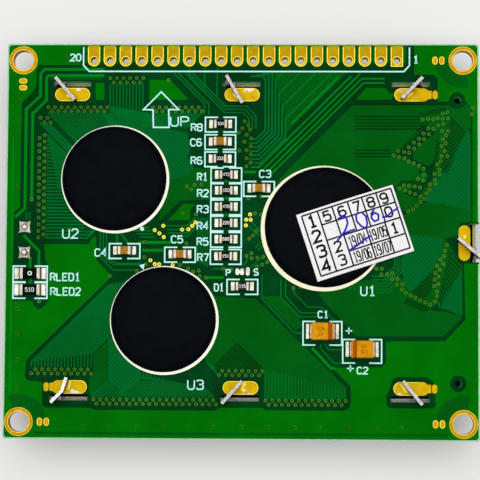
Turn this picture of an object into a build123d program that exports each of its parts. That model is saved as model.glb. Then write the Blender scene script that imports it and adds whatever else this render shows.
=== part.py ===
from build123d import *
from math import cos, radians, sin, tan
import os

# Graphic LCD module, lying face down: the bezel's front face is on the table at z = 0,
# +X runs along the display's long side, +Y towards the header and +Z out of the board's back.
# All sizes are in millimetres.

# Circuit board
board_length = 75.0
board_width = 62.8
board_thickness = 1.6
board_corner_radius = 0.6
copper_thickness = 0.06
plating_thickness = 0.1

# Mounting holes, tooling holes
mount_hole_diameter = 3.2
mount_ring_diameter = 4.5
mount_hole_inset_x = 2.5
mount_hole_inset_y = 2.65
tooling_hole_diameter = 1.1
tooling_hole_inset_x = 3.35
tooling_hole_inset_y = 9.0

# Header: one row of plated holes along the top edge
header_count = 20
header_spacing = 2.54
header_centre_x = 0.43
header_hole_diameter = 1.0
header_hole_inset = 2.65
header_pad_width = 1.95
header_pad_edge_gap = 0.3

# Bezel, folded from one sheet of steel; the gaps are from the board's edges to its walls
bezel_gap_x = 0.4
bezel_gap_y = 6.1
bezel_height = 7.2
bezel_sheet = 0.5
bend_radius = 0.8
corner_seam = 0.2
corner_seam_length = 2.0
window_length = 60.0
window_width = 39.0
window_corner_radius = 0.6

# Hook tabs of the bezel and the slots that they pass through
slot_length = 6.1
slot_width = 0.9
slot_clearance = 0.05
notch_gap = 0.5
tab_neck_width = 1.6
tab_twist_height = 0.4
tab_head_height = 1.9
tab_twist_steps = 5

# Gold pads under the hooks
tab_pad_length = 5.6
tab_pad_width = 2.1
tab_pad_gap = 0.15
tab_pad_shift = 0.15
tab_pad_neck_length = 0.3
tab_pad_neck_width = 1.3
notch_pad_width = 1.85
side_pad_length = 1.4
side_pad_width = 0.82
side_pad_gap = 0.13

# LCD cell
glass_thickness = 1.1
cell_gap = 0.1
glass_clearance = 0.4
contact_ledge = 2.6
seal_width = 1.2
polariser_thickness = 0.2
polariser_inset = 1.6

# Zebra strips
zebra_width = 2.0
zebra_top_length = 61.0
zebra_right_length = 22.0

# Backlight
frame_wall = 1.0
frame_floor = 0.8
frame_inset = 0.3
frame_play = 0.1
diffuser_thickness = 0.2
reflector_thickness = 0.2
led_board_thickness = 0.8
led_depth = 1.0
led_width = 3.0
led_height = 1.6
led_count = 6
led_board_play = 1.3
pin_diameter = 0.6
backlight_pin_spacing = 4.05
pin_stub = 0.7
pin_tip_radius = 0.1
pin_clearance = 0.1

# Jumper pads and the solder jumper: length and width of their pads
jumper_distance = 3.87
jumper_pitch = 1.08
jumper_pad = (1.3, 0.86)
solder_jumper_site = (0.25, -4.95)
bridge_pad = (0.55, 1.0)
bridge_pitch = 0.75
bridge_neck = 0.5
bridge_corner_radius = 0.18
bridge_offset = -0.48
open_pad = (0.6, 1.35)
open_pad_offset = (0.8, 0.05)

# Solder of the backlight pins
tin_thickness = 0.16
solder_pad_half = 0.95
solder_pad_waist = 0.78
solder_cone_radius = 0.7
solder_cone_height = 0.5
solder_cone_lip = 0.05
solder_cone_hollow = (0.42, 0.25)

# Epoxy blobs: x, y and diameter of each printed ring, the width that shows of it, and how far
# the blob lies off its middle
blob_sites = [
    (13.0, 1.95, 19.9, 0.42, (0.2, 0.18)),
    (-20.1, 9.65, 17.2, 0.28, (-0.14, 0.14)),
    (-12.1, -12.7, 17.2, 0.28, (-0.14, 0.14)),
]
blob_height = 1.7
blob_shoulder = 1.0
blob_crown_angle = 12.0
dam_height = 0.15

# Chip parts: length, width, height and the length of the end caps
small_chip = (2.0, 1.25, 0.5, 0.35)
ceramic_chip = (2.0, 1.25, 0.85, 0.4)
large_chip = (3.15, 1.6, 0.6, 0.45)
chip_cap_step = 0.03
chip_edge_radius = 0.06
small_land = (0.8, 1.3)
large_land = (0.9, 1.75)
land_overlap = 0.3
land_foot_height = 0.08
fillet_rise = 0.7
fillet_reach = 0.25
fillet_hollow = 0.42
led_resistor_inset = 4.05

# Moulded tantalum capacitors
tantalum_length = 3.5
tantalum_width = 2.8
tantalum_height = 1.9
tantalum_parting_height = 0.9
tantalum_draft = 0.12
terminal_width = 2.2
terminal_sheet = 0.12
terminal_foot = 0.8
tantalum_land = (0.7, 2.35)

# Paper label stuck over the largest blob
label_length = 16.0
label_width = 11.0
label_thickness = 0.1
label_angle = 18.2
label_offset = (4.76, -0.94)
label_lift = 0.06

# Values worked out from the sizes above
board_front = bezel_height
board_back = board_front + board_thickness
half_board_x = board_length / 2
half_board_y = board_width / 2
half_bezel_x = half_board_x - bezel_gap_x
half_bezel_y = half_board_y - bezel_gap_y
mount_x = half_board_x - mount_hole_inset_x
mount_y = half_board_y - mount_hole_inset_y
header_y = half_board_y - header_hole_inset
tab_line_y = half_bezel_y - bezel_sheet / 2
tab_line_x = half_bezel_x - bezel_sheet / 2
slot_line_y = half_bezel_y + slot_clearance - slot_width / 2
tab_pad_line = slot_line_y - slot_width / 2 - tab_pad_gap - tab_pad_width / 2
notch_edge_x = half_bezel_x - bezel_sheet - notch_gap
mount_points = [(x, y) for x in (-mount_x, mount_x) for y in (-mount_y, mount_y)]
header_start_x = header_centre_x - header_spacing * (header_count - 1) / 2
header_points = [(header_start_x + header_spacing * pin, header_y) for pin in range(header_count)]
tooling_x = half_board_x - tooling_hole_inset_x
tooling_y = half_board_y - tooling_hole_inset_y

glass_half_x = half_bezel_x - bezel_sheet - glass_clearance
glass_half_y = half_bezel_y - bezel_sheet - glass_clearance
front_glass_z = bezel_sheet + polariser_thickness
ledge_z = front_glass_z + glass_thickness
rear_glass_z = ledge_z + cell_gap
rear_glass_back = rear_glass_z + glass_thickness
rear_glass_left = -glass_half_x
rear_glass_right = glass_half_x - contact_ledge
rear_glass_half_y = glass_half_y - contact_ledge

frame_left = rear_glass_left + frame_inset
frame_right = rear_glass_right - frame_inset
frame_half_y = rear_glass_half_y - frame_inset
cavity_left = frame_left + frame_wall
cavity_right = frame_right - frame_wall
cavity_half_y = frame_half_y - frame_wall
cavity_floor = board_front - frame_floor
diffuser_z = rear_glass_back + polariser_thickness
reflector_z = cavity_floor - reflector_thickness
guide_z = diffuser_z + diffuser_thickness
guide_thickness = reflector_z - guide_z
led_board_x = cavity_left + frame_play
led_face_x = led_board_x + led_board_thickness
guide_left = led_face_x + led_depth + frame_play
pin_x = led_board_x + led_board_thickness / 2
pin_points = [(pin_x, side * backlight_pin_spacing / 2) for side in (-1, 1)]

# Each tab: wall it stands on, middle of its slot along the wall, where its neck stands,
# side that its head points to, twist in degrees, overhang behind the neck, length of the head,
# where the head is kinked (0 for none) and by how many degrees
tabs = [
    ("top", -27.2, -29.0, 1, 49, 0.86, 4.75, 0, 0),
    ("top", -0.15, -1.9, 1, 60, 1.15, 5.1, 0, 0),
    ("top", 26.8, 27.8, -1, 46, 1.0, 4.65, 0, 0),
    ("bottom", -27.2, -29.1, 1, 46, 0.85, 4.7, 1.7, 27),
    ("bottom", -0.15, -2.3, 1, 48, 0.85, 4.7, 0, 0),
    ("bottom", 26.65, 27.85, -1, 51, 0.85, 4.75, 0, 0),
    ("right", -0.28, -2.0, 1, 50, 1.1, 4.8, 0, 0),
]

# Corners of the board whose tab pad has the narrowed end: wall and side
necked_pads = [("top", 1), ("bottom", -1), ("bottom", 1)]

# Chip parts by name and place on the board
resistor_sites = {
    "resistor_r1": (-2.44, 10.45),
    "resistor_r2": (-2.44, 7.95),
    "resistor_r3": (-2.44, 5.35),
    "resistor_r4": (-2.44, 2.77),
    "resistor_r5": (-2.44, 0.2),
    "resistor_r6": (-3.44, 13.0),
    "resistor_r7": (-2.47, -2.5),
    "resistor_r8": (-3.4, 18.55),
    "diode_d1": (0.2, -7.25),
}
ceramic_sites = {
    "ceramic_capacitor_c3": (2.75, 8.3),
    "ceramic_capacitor_c4": (-18.5, -1.65),
    "ceramic_capacitor_c5": (-9.7, -2.2),
    "ceramic_capacitor_c6": (-3.44, 15.75),
}
led_resistor_sites = {
    "led_resistor_1": (led_resistor_inset - half_board_x, -5.35),
    "led_resistor_2": (led_resistor_inset - half_board_x, -7.95),
}
tantalum_sites = {
    "tantalum_capacitor_c1": (12.85, -14.3),
    "tantalum_capacitor_c2": (19.1, -17.1),
}
# Oval jumper pads beside the mounting rings, as pairs: middle, direction of the pair
jumper_sites = [
    ((-mount_x, mount_y - jumper_distance), 90),
    ((mount_x - jumper_distance, mount_y), 0),
    ((-mount_x + jumper_distance, -mount_y), 0),
    ((mount_x - jumper_distance, -mount_y), 0),
]


def save(piece, name):
    # Label one finished sub-part and write its STEP file
    piece.part.label = name
    export_step(piece.part, f"parts/{name}.step")


def slab(left, right, half_width, bottom, thickness):
    # Flat block between two x values, centred on y
    with BuildPart() as block:
        with BuildSketch(Plane.XY.offset(bottom)):
            with Locations(((left + right) / 2, 0)):
                Rectangle(right - left, 2 * half_width)
        extrude(amount=thickness)
    return block


def section_plane(point, z, side=1):
    # Upright plane through a point, its x axis along +X or -X and its y axis up
    return Plane(origin=(*point, z), x_dir=(side, 0, 0), z_dir=(0, -side, 0))


def end_planes(sites, z):
    # Upright planes at both ends of every part in a group, x pointing outwards
    return [section_plane(site, z, side) for site in sites.values() for side in (-1, 1)]


def wall_plane(tab, z, turn=0):
    # Plane on a tab's neck at height z, its x axis along the wall towards the tab's head
    wall, _, neck, side = tab[:4]
    if wall == "right":
        origin = (tab_line_x, neck, z)
        heading = 90 * side
    else:
        origin = (neck, tab_line_y if wall == "top" else -tab_line_y, z)
        heading = 0 if side > 0 else 180
    inward = side if wall in ("bottom", "right") else -side
    angle = radians(heading + inward * turn)
    return Plane(origin=origin, x_dir=(cos(angle), sin(angle), 0), z_dir=(0, 0, 1))


os.makedirs("parts", exist_ok=True)

# Circuit board with its holes, slots and edge notch
with BuildPart() as circuit_board:
    with BuildSketch(Plane.XY.offset(board_front)) as board_outline:
        Rectangle(board_length, board_width)
        fillet(board_outline.vertices(), board_corner_radius)
        with Locations(*mount_points):
            Circle(mount_hole_diameter / 2 + plating_thickness, mode=Mode.SUBTRACT)
        with Locations(*header_points):
            Circle(header_hole_diameter / 2 + plating_thickness, mode=Mode.SUBTRACT)
        with Locations((tooling_x, tooling_y), (tooling_x, -tooling_y)):
            Circle(tooling_hole_diameter / 2, mode=Mode.SUBTRACT)
        with Locations(*pin_points):
            Circle(pin_diameter / 2 + pin_clearance, mode=Mode.SUBTRACT)
        for wall, slot_middle, *rest in tabs:
            if wall == "right":
                with Locations((half_board_x, slot_middle)):
                    Rectangle(2 * (half_board_x - notch_edge_x), slot_length, mode=Mode.SUBTRACT)
            else:
                with Locations((slot_middle, slot_line_y if wall == "top" else -slot_line_y)):
                    Rectangle(slot_length, slot_width, mode=Mode.SUBTRACT)
    extrude(amount=board_thickness)
save(circuit_board, "circuit_board")

# Folded bezel: a tray with a window, seams at its corners and hook tabs on its walls
with BuildPart() as bezel:
    with BuildSketch():
        Rectangle(2 * half_bezel_x, 2 * half_bezel_y)
    extrude(amount=bezel_height)
    fillet(bezel.edges().group_by(Axis.Z)[0], bend_radius)
    offset(amount=-bezel_sheet, openings=bezel.faces().sort_by(Axis.Z)[-1])
    with BuildSketch() as window:
        Rectangle(window_length, window_width)
        fillet(window.vertices(), window_corner_radius)
    extrude(amount=bezel_sheet, mode=Mode.SUBTRACT)
    with BuildSketch(Plane.XY.offset(bend_radius)):
        for side_x in (-1, 1):
            for side_y in (-1, 1):
                corner = (side_x * half_bezel_x, side_y * half_bezel_y)
                with Locations(Location(corner, 45 * side_x * side_y)):
                    Rectangle(corner_seam_length, corner_seam)
    extrude(amount=bezel_height, mode=Mode.SUBTRACT)
    for tab in tabs:
        overhang, head_length, kink_at, kink_angle = tab[5:]
        # neck, straight through the board
        with BuildSketch(wall_plane(tab, bezel_height)):
            Rectangle(tab_neck_width, bezel_sheet)
        extrude(amount=board_thickness)
        # neck above the board, twisted step by step
        for step in range(tab_twist_steps + 1):
            share = step / tab_twist_steps
            with BuildSketch(wall_plane(tab, board_back + share * tab_twist_height, share * tab[4])):
                Rectangle(tab_neck_width, bezel_sheet)
        loft(ruled=True)
        # head across the slot, bent once more where it was kinked
        reach = head_length - overhang
        straight = kink_at if kink_at else reach / 2
        kink = radians(kink_angle)
        tip = (straight + (reach - straight) * cos(kink), (reach - straight) * sin(kink))
        with BuildSketch(wall_plane(tab, board_back + tab_twist_height, tab[4])):
            with BuildLine():
                Polyline((-overhang, 0), (straight, 0), tip)
            trace(line_width=bezel_sheet)
        extrude(amount=tab_head_height)
save(bezel, "bezel")

# LCD cell: polariser, front glass, seal, rear glass, polariser
polariser_left = rear_glass_left + polariser_inset
polariser_right = rear_glass_right - polariser_inset
polariser_half_y = rear_glass_half_y - polariser_inset
front_polariser = slab(polariser_left, polariser_right, polariser_half_y, bezel_sheet, polariser_thickness)
save(front_polariser, "front_polariser")
front_glass = slab(-glass_half_x, glass_half_x, glass_half_y, front_glass_z, glass_thickness)
save(front_glass, "front_glass")
rear_glass = slab(rear_glass_left, rear_glass_right, rear_glass_half_y, rear_glass_z, glass_thickness)
save(rear_glass, "rear_glass")
with BuildPart() as glass_seal:
    with BuildSketch(Plane.XY.offset(ledge_z)):
        with Locations(((rear_glass_left + rear_glass_right) / 2, 0)):
            Rectangle(rear_glass_right - rear_glass_left, 2 * rear_glass_half_y)
            Rectangle(rear_glass_right - rear_glass_left - 2 * seal_width,
                      2 * (rear_glass_half_y - seal_width), mode=Mode.SUBTRACT)
    extrude(amount=cell_gap)
save(glass_seal, "glass_seal")
rear_polariser = slab(polariser_left, polariser_right, polariser_half_y, rear_glass_back, polariser_thickness)
save(rear_polariser, "rear_polariser")

# Zebra strips from the front glass's ledges to the board
zebra_height = board_front - ledge_z
zebra_line_y = rear_glass_half_y + contact_ledge / 2
zebra_line_x = rear_glass_right + contact_ledge / 2
zebra_sites = {
    "zebra_strip_top": (((rear_glass_left + rear_glass_right) / 2, zebra_line_y), zebra_top_length, 0),
    "zebra_strip_bottom": (((rear_glass_left + rear_glass_right) / 2, -zebra_line_y), zebra_top_length, 0),
    "zebra_strip_right": ((zebra_line_x, 0), zebra_right_length, 90),
}
for name, (middle, length, turn) in zebra_sites.items():
    with BuildPart() as zebra_strip:
        with BuildSketch(Plane.XY.offset(ledge_z)):
            with Locations(Location(middle, turn)):
                Rectangle(length, zebra_width)
        extrude(amount=zebra_height)
    save(zebra_strip, name)

# Backlight: white tray, sheets, light guide, LED strip with its pins
with BuildPart() as backlight_frame:
    with BuildSketch(Plane.XY.offset(rear_glass_back)):
        with Locations(((frame_left + frame_right) / 2, 0)):
            Rectangle(frame_right - frame_left, 2 * frame_half_y)
    extrude(amount=board_front - rear_glass_back)
    with BuildSketch(Plane.XY.offset(rear_glass_back)):
        with Locations(((cavity_left + cavity_right) / 2, 0)):
            Rectangle(cavity_right - cavity_left, 2 * cavity_half_y)
    extrude(amount=cavity_floor - rear_glass_back, mode=Mode.SUBTRACT)
    with BuildSketch(Plane.XY.offset(cavity_floor)):
        with Locations(*pin_points):
            Circle(pin_diameter / 2 + pin_clearance)
    extrude(amount=frame_floor, mode=Mode.SUBTRACT)
save(backlight_frame, "backlight_frame")
guide_right = cavity_right - frame_play
guide_half_y = cavity_half_y - frame_play
diffuser_sheet = slab(guide_left, guide_right, guide_half_y, diffuser_z, diffuser_thickness)
save(diffuser_sheet, "diffuser_sheet")
reflector_sheet = slab(guide_left, guide_right, guide_half_y, reflector_z, reflector_thickness)
save(reflector_sheet, "reflector_sheet")
light_guide = slab(guide_left, guide_right, guide_half_y, guide_z, guide_thickness)
save(light_guide, "light_guide")
led_board_half = cavity_half_y - led_board_play
led_spacing = 2 * led_board_half / led_count
led_strip_board = slab(led_board_x, led_face_x, led_board_half, guide_z, cavity_floor - guide_z)
save(led_strip_board, "led_strip_board")
with BuildPart() as led_chips:
    with BuildSketch(Plane.YZ.offset(led_face_x)):
        with Locations((0, (guide_z + cavity_floor) / 2)):
            with GridLocations(led_spacing, 1, led_count, 1):
                Rectangle(led_width, led_height)
    extrude(amount=led_depth)
save(led_chips, "led_chips")
with BuildPart() as backlight_pins:
    with BuildSketch(Plane.XY.offset(cavity_floor)):
        with Locations(*pin_points):
            Circle(pin_diameter / 2)
    extrude(amount=board_back + pin_stub - cavity_floor)
    fillet(backlight_pins.edges().group_by(Axis.Z)[-1], pin_tip_radius)
save(backlight_pins, "backlight_pins")

# Solder of the backlight pins: a tinned pad drawn out to its corners, and a cone up the pin
pad_corners = [(a * solder_pad_half, b * solder_pad_half) for a, b in ((1, 1), (-1, 1), (-1, -1), (1, -1))]
pad_waists = [(0, solder_pad_waist), (-solder_pad_waist, 0), (0, -solder_pad_waist), (solder_pad_waist, 0)]
with BuildPart() as backlight_solder_joints:
    with BuildSketch(*[Plane.XY.offset(board_back).move(Location(point)) for point in pin_points]):
        with BuildLine():
            for corner, waist, following in zip(pad_corners, pad_waists, pad_corners[1:] + pad_corners[:1]):
                ThreePointArc(corner, waist, following)
        make_face()
    extrude(amount=tin_thickness)
    for point in pin_points:
        with BuildSketch(section_plane(point, board_back)):
            with BuildLine():
                cone_tip = (pin_diameter / 2 + solder_cone_lip, solder_cone_height)
                ThreePointArc((solder_cone_radius, tin_thickness), solder_cone_hollow, cone_tip)
                Polyline(cone_tip, (0, solder_cone_height), (0, 0), (solder_cone_radius, 0),
                         (solder_cone_radius, tin_thickness))
            make_face()
        revolve(axis=Axis((*point, 0), (0, 0, 1)))
    with BuildSketch(Plane.XY.offset(board_back)):
        with Locations(*pin_points):
            Circle(pin_diameter / 2)
    extrude(amount=pin_stub, mode=Mode.SUBTRACT)
save(backlight_solder_joints, "backlight_solder_joints")

# Plated header holes: a long pad on the back, a barrel and a round pad on the front
with BuildPart() as header_pads:
    with BuildSketch(Plane.XY.offset(board_back)):
        pad_top = half_board_y - header_pad_edge_gap
        for number, point in enumerate(header_points):
            with Locations(point):
                if number < header_count - 1:
                    Circle(header_pad_width / 2)
                else:
                    Rectangle(header_pad_width, header_pad_width)
            with Locations((point[0], (pad_top + header_y) / 2)):
                Rectangle(header_pad_width, pad_top - header_y)
    extrude(amount=copper_thickness)
    with BuildSketch(Plane.XY.offset(board_front)):
        with Locations(*header_points):
            Circle(header_hole_diameter / 2 + plating_thickness)
    extrude(amount=board_thickness)
    with BuildSketch(Plane.XY.offset(board_front - copper_thickness)):
        with Locations(*header_points):
            Circle(header_pad_width / 2)
    extrude(amount=copper_thickness)
    with BuildSketch(Plane.XY.offset(board_front - copper_thickness)):
        with Locations(*header_points):
            Circle(header_hole_diameter / 2)
    extrude(amount=board_thickness + 2 * copper_thickness, mode=Mode.SUBTRACT)
save(header_pads, "header_pads")

# Plated rings of the mounting holes, like eyelets through the board
with BuildPart() as mounting_rings:
    for bottom, radius, height in (
        (board_front - copper_thickness, mount_ring_diameter / 2, copper_thickness),
        (board_front, mount_hole_diameter / 2 + plating_thickness, board_thickness),
        (board_back, mount_ring_diameter / 2, copper_thickness),
    ):
        with BuildSketch(Plane.XY.offset(bottom)):
            with Locations(*mount_points):
                Circle(radius)
                Circle(mount_hole_diameter / 2, mode=Mode.SUBTRACT)
        extrude(amount=height)
save(mounting_rings, "mounting_rings")

# Gold pads under the hook tabs; three have a narrowed end and an oval pad beside it
with BuildPart() as tab_pads:
    with BuildSketch(Plane.XY.offset(board_back)):
        for wall, slot_middle, *rest in tabs:
            if wall == "right":
                with Locations(Location((notch_edge_x - notch_pad_width / 2, slot_middle), 90)):
                    SlotOverall(tab_pad_length, notch_pad_width)
                continue
            outward = 1 if slot_middle > 0 else -1
            pad_x = slot_middle + tab_pad_shift
            line_y = tab_pad_line if wall == "top" else -tab_pad_line
            with Locations((pad_x, line_y)):
                SlotOverall(tab_pad_length, tab_pad_width)
            if (wall, outward) in necked_pads and abs(slot_middle) > tab_pad_length:
                neck_end = pad_x + outward * (tab_pad_length / 2 + tab_pad_neck_length)
                with Locations((neck_end - outward * tab_pad_neck_length, line_y)):
                    Rectangle(2 * tab_pad_neck_length, tab_pad_neck_width)
                oval_x = neck_end + outward * (side_pad_gap + side_pad_width / 2)
                with Locations(Location((oval_x, line_y), 90)):
                    SlotOverall(side_pad_length, side_pad_width)
    extrude(amount=copper_thickness)
save(tab_pads, "tab_pads")

# Pairs of oval jumper pads
with BuildPart() as jumper_pads:
    with BuildSketch(Plane.XY.offset(board_back)):
        for middle, turn in jumper_sites:
            with Locations(Location(middle, turn)):
                with GridLocations(jumper_pitch, 1, 2, 1):
                    SlotOverall(jumper_pad[0], jumper_pad[1], rotation=90)
    extrude(amount=copper_thickness)
save(jumper_pads, "jumper_pads")

# Three-part solder jumper, its left gap bridged
with BuildPart() as solder_jumper:
    with BuildSketch(Plane.XY.offset(board_back)):
        with Locations(solder_jumper_site):
            with Locations((bridge_offset, 0)):
                with GridLocations(bridge_pitch, 1, 2, 1):
                    RectangleRounded(*bridge_pad, bridge_corner_radius)
                Rectangle(bridge_pitch, bridge_neck)
            with Locations(open_pad_offset):
                SlotOverall(open_pad[1], open_pad[0], rotation=90)
    extrude(amount=tin_thickness)
save(solder_jumper, "solder_jumper")

# Epoxy blobs: flat-crowned domes that sit a little off the middle of their printed rings
blob_crown = radians(blob_crown_angle)


def dome_section(radius):
    # Shoulder point and crown radius of a dome's section
    shoulder = radius - blob_shoulder
    crown_radius = shoulder / sin(blob_crown)
    return shoulder, blob_height - crown_radius * (1 - cos(blob_crown))


def crown_curve(shoulder, shoulder_height, lift):
    # The dome's crown from its axis to its shoulder, raised by lift
    crown_radius = shoulder / sin(blob_crown)
    half_angle = blob_crown / 2
    halfway = (crown_radius * sin(half_angle), blob_height + lift - crown_radius * (1 - cos(half_angle)))
    return ThreePointArc((0, blob_height + lift), halfway, (shoulder, shoulder_height + lift))


for number, (centre_x, centre_y, ring_diameter, ring_margin, drift) in enumerate(blob_sites, start=1):
    blob_radius = ring_diameter / 2 - ring_margin
    blob_centre = (centre_x + drift[0], centre_y + drift[1])
    shoulder, shoulder_height = dome_section(blob_radius)
    with BuildPart() as epoxy_blob:
        with BuildSketch(section_plane(blob_centre, board_back)):
            with BuildLine():
                crown_curve(shoulder, shoulder_height, 0)
                TangentArc((shoulder, shoulder_height), (blob_radius, 0),
                           tangent=(cos(blob_crown), -sin(blob_crown)))
                Line((blob_radius, 0), (0, 0))
                Line((0, 0), (0, blob_height))
            make_face()
        revolve(axis=Axis((*blob_centre, 0), (0, 0, 1)))
    save(epoxy_blob, f"epoxy_blob_{number}")
    with BuildPart() as dam_ring:
        with BuildSketch(Plane.XY.offset(board_back)):
            with Locations((centre_x, centre_y)):
                Circle(ring_diameter / 2)
            with Locations(blob_centre):
                Circle(blob_radius, mode=Mode.SUBTRACT)
        extrude(amount=dam_height)
    save(dam_ring, f"dam_ring_{number}")

# Paper label: follows the first blob's crown, bridges its edge and lands on the board
centre_x, centre_y, ring_diameter, ring_margin, drift = blob_sites[0]
label_axis = (centre_x + drift[0], centre_y + drift[1])
shoulder, shoulder_height = dome_section(ring_diameter / 2 - ring_margin)
landing = shoulder + shoulder_height / tan(blob_crown)
label_reach = label_length + label_width
with BuildPart() as inspection_label:
    with BuildSketch(section_plane(label_axis, board_back)):
        with BuildLine():
            for lift in (label_lift, label_lift + label_thickness):
                crown_curve(shoulder, shoulder_height, lift)
                Polyline((shoulder, shoulder_height + lift), (landing, lift), (label_reach, lift))
            Line((0, blob_height + label_lift), (0, blob_height + label_lift + label_thickness))
            Line((label_reach, label_lift), (label_reach, label_lift + label_thickness))
        make_face()
    revolve(axis=Axis((*label_axis, 0), (0, 0, 1)))
    label_middle = (label_axis[0] + label_offset[0], label_axis[1] + label_offset[1])
    with BuildSketch(Plane.XY.offset(board_back)):
        with Locations(Location(label_middle, label_angle)):
            Rectangle(label_length, label_width)
    extrude(amount=2 * blob_height, mode=Mode.INTERSECT)
save(inspection_label, "inspection_label")


def chip(site, size):
    # Chip part: a body with a slightly thicker end cap at each end, resting on its lands
    length, width, height, cap = size
    base = board_back + land_foot_height
    with BuildPart() as body:
        with BuildSketch(Plane.XY.offset(base + chip_cap_step)):
            with Locations(site):
                Rectangle(length - cap, width - 2 * chip_cap_step)
        extrude(amount=height - 2 * chip_cap_step)
        with BuildSketch(Plane.XY.offset(base)):
            with Locations(site):
                with GridLocations(length - cap, 1, 2, 1):
                    Rectangle(cap, width)
        extrude(amount=height)
        fillet(body.edges().filter_by(Axis.Y).group_by(Axis.X)[0], chip_edge_radius)
        fillet(body.edges().filter_by(Axis.Y).group_by(Axis.X)[-1], chip_edge_radius)
    return body


chip_groups = [(resistor_sites, small_chip), (ceramic_sites, ceramic_chip), (led_resistor_sites, large_chip)]
for sites, size in chip_groups:
    for name, site in sites.items():
        save(chip(site, size), name)

# Tantalum capacitors: moulded bodies that narrow above and below their parting line
terminal_base = board_back + land_foot_height
parting_z = terminal_base + tantalum_parting_height
for name, site in tantalum_sites.items():
    with BuildPart() as tantalum_capacitor:
        for end_z in (terminal_base + terminal_sheet, terminal_base + tantalum_height):
            for z, draft in ((end_z, tantalum_draft), (parting_z, 0)):
                with BuildSketch(Plane.XY.offset(z)):
                    with Locations(site):
                        Rectangle(tantalum_length - 2 * draft, tantalum_width - 2 * draft)
            loft()
    save(tantalum_capacitor, name)

# Their terminals: strips folded down the ends and under the bodies
with BuildPart() as tantalum_terminals:
    with BuildSketch(*end_planes(tantalum_sites, terminal_base)):
        with BuildLine():
            end_x = tantalum_length / 2
            outer_x = end_x + terminal_sheet
            foot_x = end_x - terminal_foot
            Polyline((outer_x, 0), (outer_x, tantalum_parting_height), (end_x, tantalum_parting_height),
                     (end_x, terminal_sheet), (foot_x, terminal_sheet), (foot_x, 0), close=True)
        make_face()
    extrude(amount=terminal_width / 2, both=True)
save(tantalum_terminals, "tantalum_terminals")

# Tinned lands under every chip, each with a solder fillet up the part's end
land_groups = [
    (resistor_sites, small_chip[0] / 2, small_chip[2], small_land),
    (ceramic_sites, ceramic_chip[0] / 2, ceramic_chip[2], small_land),
    (led_resistor_sites, large_chip[0] / 2, large_chip[2], large_land),
    (tantalum_sites, tantalum_length / 2 + terminal_sheet, tantalum_parting_height, tantalum_land),
]
with BuildPart() as chip_lands:
    for sites, end_x, part_height, (land_length, land_width) in land_groups:
        rise = fillet_rise * part_height
        inner = end_x - land_overlap
        outer = end_x + land_length
        toe = end_x + fillet_reach
        hollow = (end_x + fillet_hollow * fillet_reach, land_foot_height + fillet_hollow * rise)
        with BuildSketch(*end_planes(sites, board_back)):
            with BuildLine():
                Polyline((end_x, land_foot_height + rise), (end_x, land_foot_height),
                         (inner, land_foot_height), (inner, 0), (outer, 0), (outer, land_foot_height),
                         (toe, land_foot_height))
                ThreePointArc((toe, land_foot_height), hollow, (end_x, land_foot_height + rise))
            make_face()
        extrude(amount=land_width / 2, both=True)
save(chip_lands, "chip_lands")
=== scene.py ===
import math

import bmesh
import bpy
from mathutils import Matrix, Vector
from mathutils.bvhtree import BVHTree


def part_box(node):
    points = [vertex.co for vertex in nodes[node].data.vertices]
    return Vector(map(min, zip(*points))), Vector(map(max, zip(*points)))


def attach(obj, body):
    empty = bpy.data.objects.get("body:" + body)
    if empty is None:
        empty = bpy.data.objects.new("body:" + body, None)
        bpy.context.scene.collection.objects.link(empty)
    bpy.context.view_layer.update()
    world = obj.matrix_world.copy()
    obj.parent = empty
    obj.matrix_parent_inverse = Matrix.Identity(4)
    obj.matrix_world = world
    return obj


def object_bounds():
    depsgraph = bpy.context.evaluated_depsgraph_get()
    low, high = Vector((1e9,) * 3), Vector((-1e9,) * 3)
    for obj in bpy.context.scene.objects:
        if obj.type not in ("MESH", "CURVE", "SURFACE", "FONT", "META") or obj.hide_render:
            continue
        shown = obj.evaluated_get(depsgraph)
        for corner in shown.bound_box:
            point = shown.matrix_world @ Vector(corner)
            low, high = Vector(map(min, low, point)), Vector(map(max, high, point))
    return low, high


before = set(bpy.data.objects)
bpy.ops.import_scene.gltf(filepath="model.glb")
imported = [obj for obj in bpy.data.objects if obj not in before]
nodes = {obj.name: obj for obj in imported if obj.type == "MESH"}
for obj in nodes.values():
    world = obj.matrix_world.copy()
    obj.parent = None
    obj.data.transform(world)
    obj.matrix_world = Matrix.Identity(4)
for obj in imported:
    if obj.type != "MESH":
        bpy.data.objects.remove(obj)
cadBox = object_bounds()
mm = 0.001
print("frame loaded:", len(nodes), "nodes")


# Small tools for materials

def linearColour(hexCode):
    # sRGB hex to the linear colour that the shaders want
    channels = [int(hexCode[i:i + 2], 16) / 255 for i in (1, 3, 5)]
    return [c / 12.92 if c <= 0.04045 else ((c + 0.055) / 1.055) ** 2.4 for c in channels] + [1.0]


def newMaterial(name):
    material = bpy.data.materials.new(name)
    material.use_nodes = True
    material.node_tree.nodes.clear()
    return material


def addNode(material, kind, settings=None, links=None):
    # One node: settings go to its properties or sockets, links join its inputs to other outputs
    node = material.node_tree.nodes.new(kind)
    for key, value in (settings or {}).items():
        if isinstance(key, int) or key in node.inputs:
            node.inputs[key].default_value = value
        else:
            setattr(node, key, value)
    for key, source in (links or {}).items():
        material.node_tree.links.new(source, node.inputs[key])
    return node


def finishMaterial(material, settings, links=None):
    shader = addNode(material, "ShaderNodeBsdfPrincipled", settings, links)
    addNode(material, "ShaderNodeOutputMaterial", {}, {"Surface": shader.outputs["BSDF"]})
    return material


def blendColours(material, factor, first, second, low=0.0, high=1.0):
    # Colour that runs from first to second as factor runs from low to high
    ramp = addNode(material, "ShaderNodeValToRGB", {}, {"Fac": factor})
    ramp.color_ramp.elements[0].position = low
    ramp.color_ramp.elements[1].position = high
    ramp.color_ramp.elements[0].color = linearColour(first)
    ramp.color_ramp.elements[1].color = linearColour(second)
    return ramp.outputs["Color"]


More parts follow.
